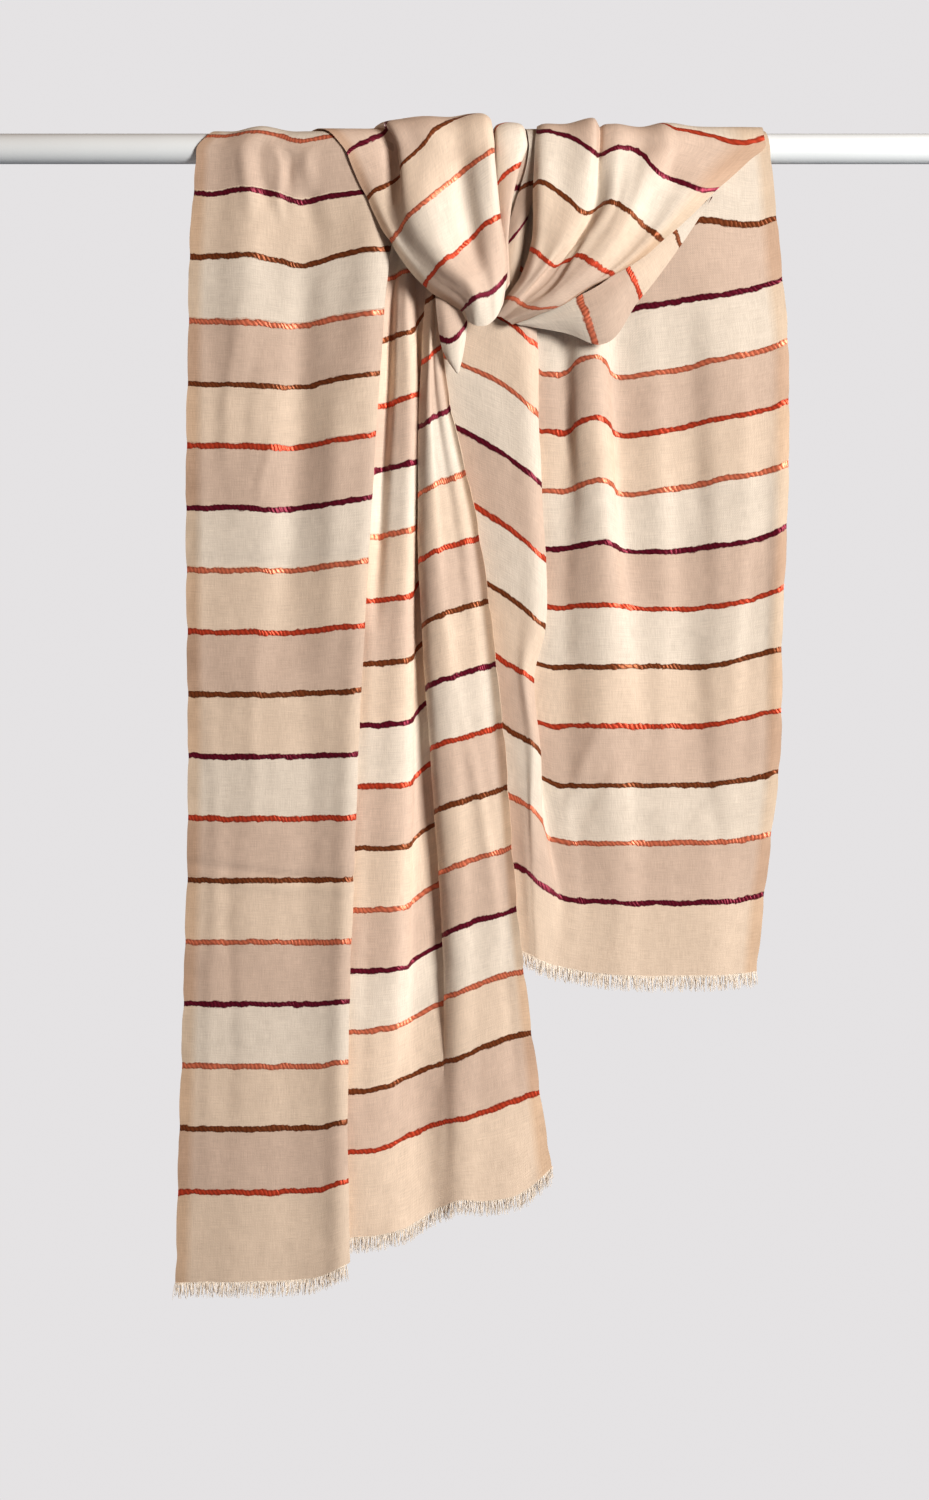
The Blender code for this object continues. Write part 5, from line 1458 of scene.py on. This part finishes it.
def make_camera(settings):
    """Camera straight in front, level, with the whole cloth in view."""
    camera = bpy.data.cameras.new("camera")
    camera.sensor_width = SENSOR
    camera.lens = SENSOR * settings.camera_distance / settings.view_height
    holder = bpy.data.objects.new("camera", camera)
    holder.location = (0.0, -settings.camera_distance - settings.front_depth, settings.view_centre)
    holder.rotation_euler = (math.pi / 2, 0.0, 0.0)
    bpy.context.scene.collection.objects.link(holder)
    bpy.context.scene.camera = holder


# Properties -------------------------------------------------------------------------------------------


def size_property(name, description, default):
    """Length that a user can change."""
    return bpy.props.FloatProperty(
        name=name, description=description, default=default, subtype="DISTANCE", unit="LENGTH", precision=5
    )


def share_property(name, description, default):
    """Share from 0 to 1 that a user can change."""
    return bpy.props.FloatProperty(
        name=name, description=description, default=default, min=0.0, max=1.0, subtype="FACTOR"
    )


def power_property(name, description, default):
    """Power of a lamp that a user can change."""
    return bpy.props.FloatProperty(name=name, description=description, default=default, unit="POWER")


def colour_property(name, description, text):
    """Colour that a user can change."""
    return bpy.props.FloatVectorProperty(
        name=name, description=description, default=linear(text), size=4, min=0.0, max=1.0, subtype="COLOR"
    )


class StoleClothSettings(bpy.types.PropertyGroup):
    """Sizes and colours of the cloth."""

    thickness: size_property("Thickness", "Thickness of the thin shell", 0.0005)
    net_step: size_property("Net step", "Distance between rows and columns of the net", 0.0024)
    unevenness: size_property("Unevenness", "Height of the cloth's soft unevenness", 0.0005)
    thread: size_property("Thread pitch", "Distance between neighbouring threads", 0.0005)
    relief: size_property("Relief", "Height of the weave's relief", 0.00012)
    stripe_pitch: size_property("Stripe pitch", "Distance from one stripe to the next", 0.04354)
    stripe_width: size_property("Stripe width", "Width of a stripe", 0.0039)
    stripe_waver: size_property("Stripe waver", "How far a stripe strays from straight", 0.0008)
    selvedge_width: size_property("Selvedge width", "Width of the denser edge", 0.0125)
    # the darker edge is partly its denser weave and partly painted shade
    selvedge_depth: share_property("Selvedge depth", "How much darker the denser edge is", 0.62)
    roughness: share_property("Roughness", "Roughness of the ground", 0.72)
    yarn_roughness: share_property("Yarn roughness", "Roughness of the stripes", 0.42)
    silk: share_property("Silk", "How strongly the stripes shine in their own colour", 0.42)
    sheen: share_property("Sheen", "Soft sheen of the fibres", 0.12)
    cream: colour_property("Cream", "Colour of the cream bands", GROUND_COLOURS["cream"])
    beige: colour_property("Beige", "Colour of the beige bands", GROUND_COLOURS["beige"])
    tan: colour_property("Tan", "Colour of the tan bands", GROUND_COLOURS["tan"])
    plum: colour_property("Plum", "Colour of the plum stripes", YARN_COLOURS["P"][1])
    red: colour_property("Red", "Colour of the red stripes", YARN_COLOURS["R"][1])
    coral: colour_property("Coral", "Colour of the coral stripes", YARN_COLOURS["C"][1])
    brown: colour_property("Brown", "Colour of the brown stripes", YARN_COLOURS["B"][1])


class StoleFringeSettings(bpy.types.PropertyGroup):
    """Sizes of the fringe."""

    spacing: size_property("Spacing", "Distance between neighbouring yarns", 0.00032)
    length: size_property("Length", "Length of a yarn", 0.0105)
    thickness: size_property("Thickness", "Thickness of a yarn at its root", 0.00055)
    lean: bpy.props.FloatProperty(
        name="Lean", description="How far a yarn may lean", default=0.22, subtype="ANGLE", unit="ROTATION"
    )


class StoleRodSettings(bpy.types.PropertyGroup):
    """Finish of the rod."""

    sides: bpy.props.IntProperty(name="Sides", description="Sides of the rod's round", default=96, min=24)
    soft_edge: size_property("Soft edge", "Rounding at the rod's ends", 0.001)
    colour: colour_property("Colour", "Colour of the paint", "#f0f8ff")


class StoleStageSettings(bpy.types.PropertyGroup):
    """Camera, light and backdrop."""

    camera_distance: size_property("Camera distance", "From the camera to the cloth's front", 2.48)
    front_depth: size_property("Front depth", "How far before the rod's axis the cloth's front lies", 0.012)
    view_height: size_property("View height", "Height that the picture takes in at the cloth's front", 1.05)
    view_centre: size_property("View centre", "Height of the picture's middle", -0.4228)
    floor_height: size_property("Floor height", "Height of the floor", -1.45)
    backdrop: colour_property("Backdrop", "Colour of the floor and wall", "#d5d3d4")
    fill: share_property("Fill", "Strength of the even light from all round", 0.14)
    bounce: share_property("Bounce", "Light that the floor sends back", 0.25)
    fill_colour: colour_property("Fill colour", "Colour of the even light", "#ffc8a0")
    key_power: power_property("Key power", "Power of the main lamp", 97.0)
    rear_power: power_property("Rear power", "Power of the lamp behind", 45.0)
    key_colour: colour_property("Key colour", "Colour of the lamps", "#fffaf2")


# Operators --------------------------------------------------------------------------------------------


class STOLE_OT_rod(bpy.types.Operator):
    """Make the rod that holds the stole up"""

    bl_idname = "stole.rod"
    bl_label = "Rod"

    def execute(self, context):
        make_rod(context.scene.stole_rod)
        return {"FINISHED"}


class STOLE_OT_falls(bpy.types.Operator):
    """Make the long and the short end with their fringes"""

    bl_idname = "stole.falls"
    bl_label = "Falls and fringes"

    def execute(self, context):
        rod = bpy.data.objects.get("rod_painted")
        if rod is None:
            raise RuntimeError("make the rod first, because the cloth hangs over it")
        cloth = context.scene.stole_cloth
        material = yarn_material(cloth)
        pieces = {sheet: make_sheet(sheet, cloth) for sheet in FALLS}
        for seed, (node, sheet, first, last) in enumerate(FRINGES, start=1):
            yarns = make_fringe(node, sheet, first, last, seed, context.scene.stole_fringe, material)
        return {"FINISHED"}


class STOLE_OT_swags(bpy.types.Operator):
    """Make the swags and the pleats between them"""

    bl_idname = "stole.swags"
    bl_label = "Swags"

    def execute(self, context):
        for sheet in SWAGS:
            piece = make_sheet(sheet, context.scene.stole_cloth)
        return {"FINISHED"}


class STOLE_OT_linings(bpy.types.Operator):
    """Make the turned-up edges below the swags"""

    bl_idname = "stole.linings"
    bl_label = "Turned edges"

    def execute(self, context):
        for sheet in LININGS:
            piece = make_sheet(sheet, context.scene.stole_cloth)
        return {"FINISHED"}


class STOLE_OT_stage(bpy.types.Operator):
    """Make the backdrop, the soft lights and the camera"""

    bl_idname = "stole.stage"
    bl_label = "Stage"

    def execute(self, context):
        settings = context.scene.stole_stage
        make_backdrop(settings)
        make_world(settings)
        make_camera(settings)
        for name, place, target, size in LAMPS:
            softbox(name, place, target, size, getattr(settings, name + "_power"), settings.key_colour)
        context.scene.view_settings.view_transform = "Standard"
        context.scene.view_settings.look = "Medium High Contrast"
        return {"FINISHED"}


# Sidebar, and what Blender is told about it all --------------------------------------------------------

PANEL_ROWS = (
    ("stole_rod", (STOLE_OT_rod,)),
    ("stole_cloth", (STOLE_OT_swags, STOLE_OT_linings)),
    ("stole_fringe", (STOLE_OT_falls,)),
    ("stole_stage", (STOLE_OT_stage,)),
)
SETTINGS = {
    "stole_cloth": StoleClothSettings,
    "stole_fringe": StoleFringeSettings,
    "stole_rod": StoleRodSettings,
    "stole_stage": StoleStageSettings,
}


class STOLE_PT_panel(bpy.types.Panel):
    """Lists the stole's pieces and their sizes"""

    bl_label = "Draped Striped Stole"
    bl_idname = "STOLE_PT_panel"
    bl_space_type = "VIEW_3D"
    bl_region_type = "UI"
    bl_category = "Stole"

    def draw(self, context):
        for group, operators in PANEL_ROWS:
            box = self.layout.box()
            settings = getattr(context.scene, group)
            for name in settings.__annotations__:
                box.prop(settings, name)
            for operator in operators:
                box.operator(operator.bl_idname)


CLASSES = (
    *SETTINGS.values(),
    STOLE_OT_rod,
    STOLE_OT_falls,
    STOLE_OT_swags,
    STOLE_OT_linings,
    STOLE_OT_stage,
    STOLE_PT_panel,
)


def register():
    """Tells Blender of the settings, the operators and the panel."""
    for each in CLASSES:
        bpy.utils.register_class(each)
    for name, settings in SETTINGS.items():
        setattr(bpy.types.Scene, name, bpy.props.PointerProperty(type=settings))


def unregister():
    """Takes them all out again."""
    for name in SETTINGS:
        delattr(bpy.types.Scene, name)
    for each in reversed(CLASSES):
        bpy.utils.unregister_class(each)


def main():
    """Makes every piece and the stage."""
    register()
    bpy.ops.stole.rod()
    bpy.ops.stole.falls()
    bpy.ops.stole.swags()
    bpy.ops.stole.linings()
    bpy.ops.stole.stage()


if __name__ == "__main__":
    main()
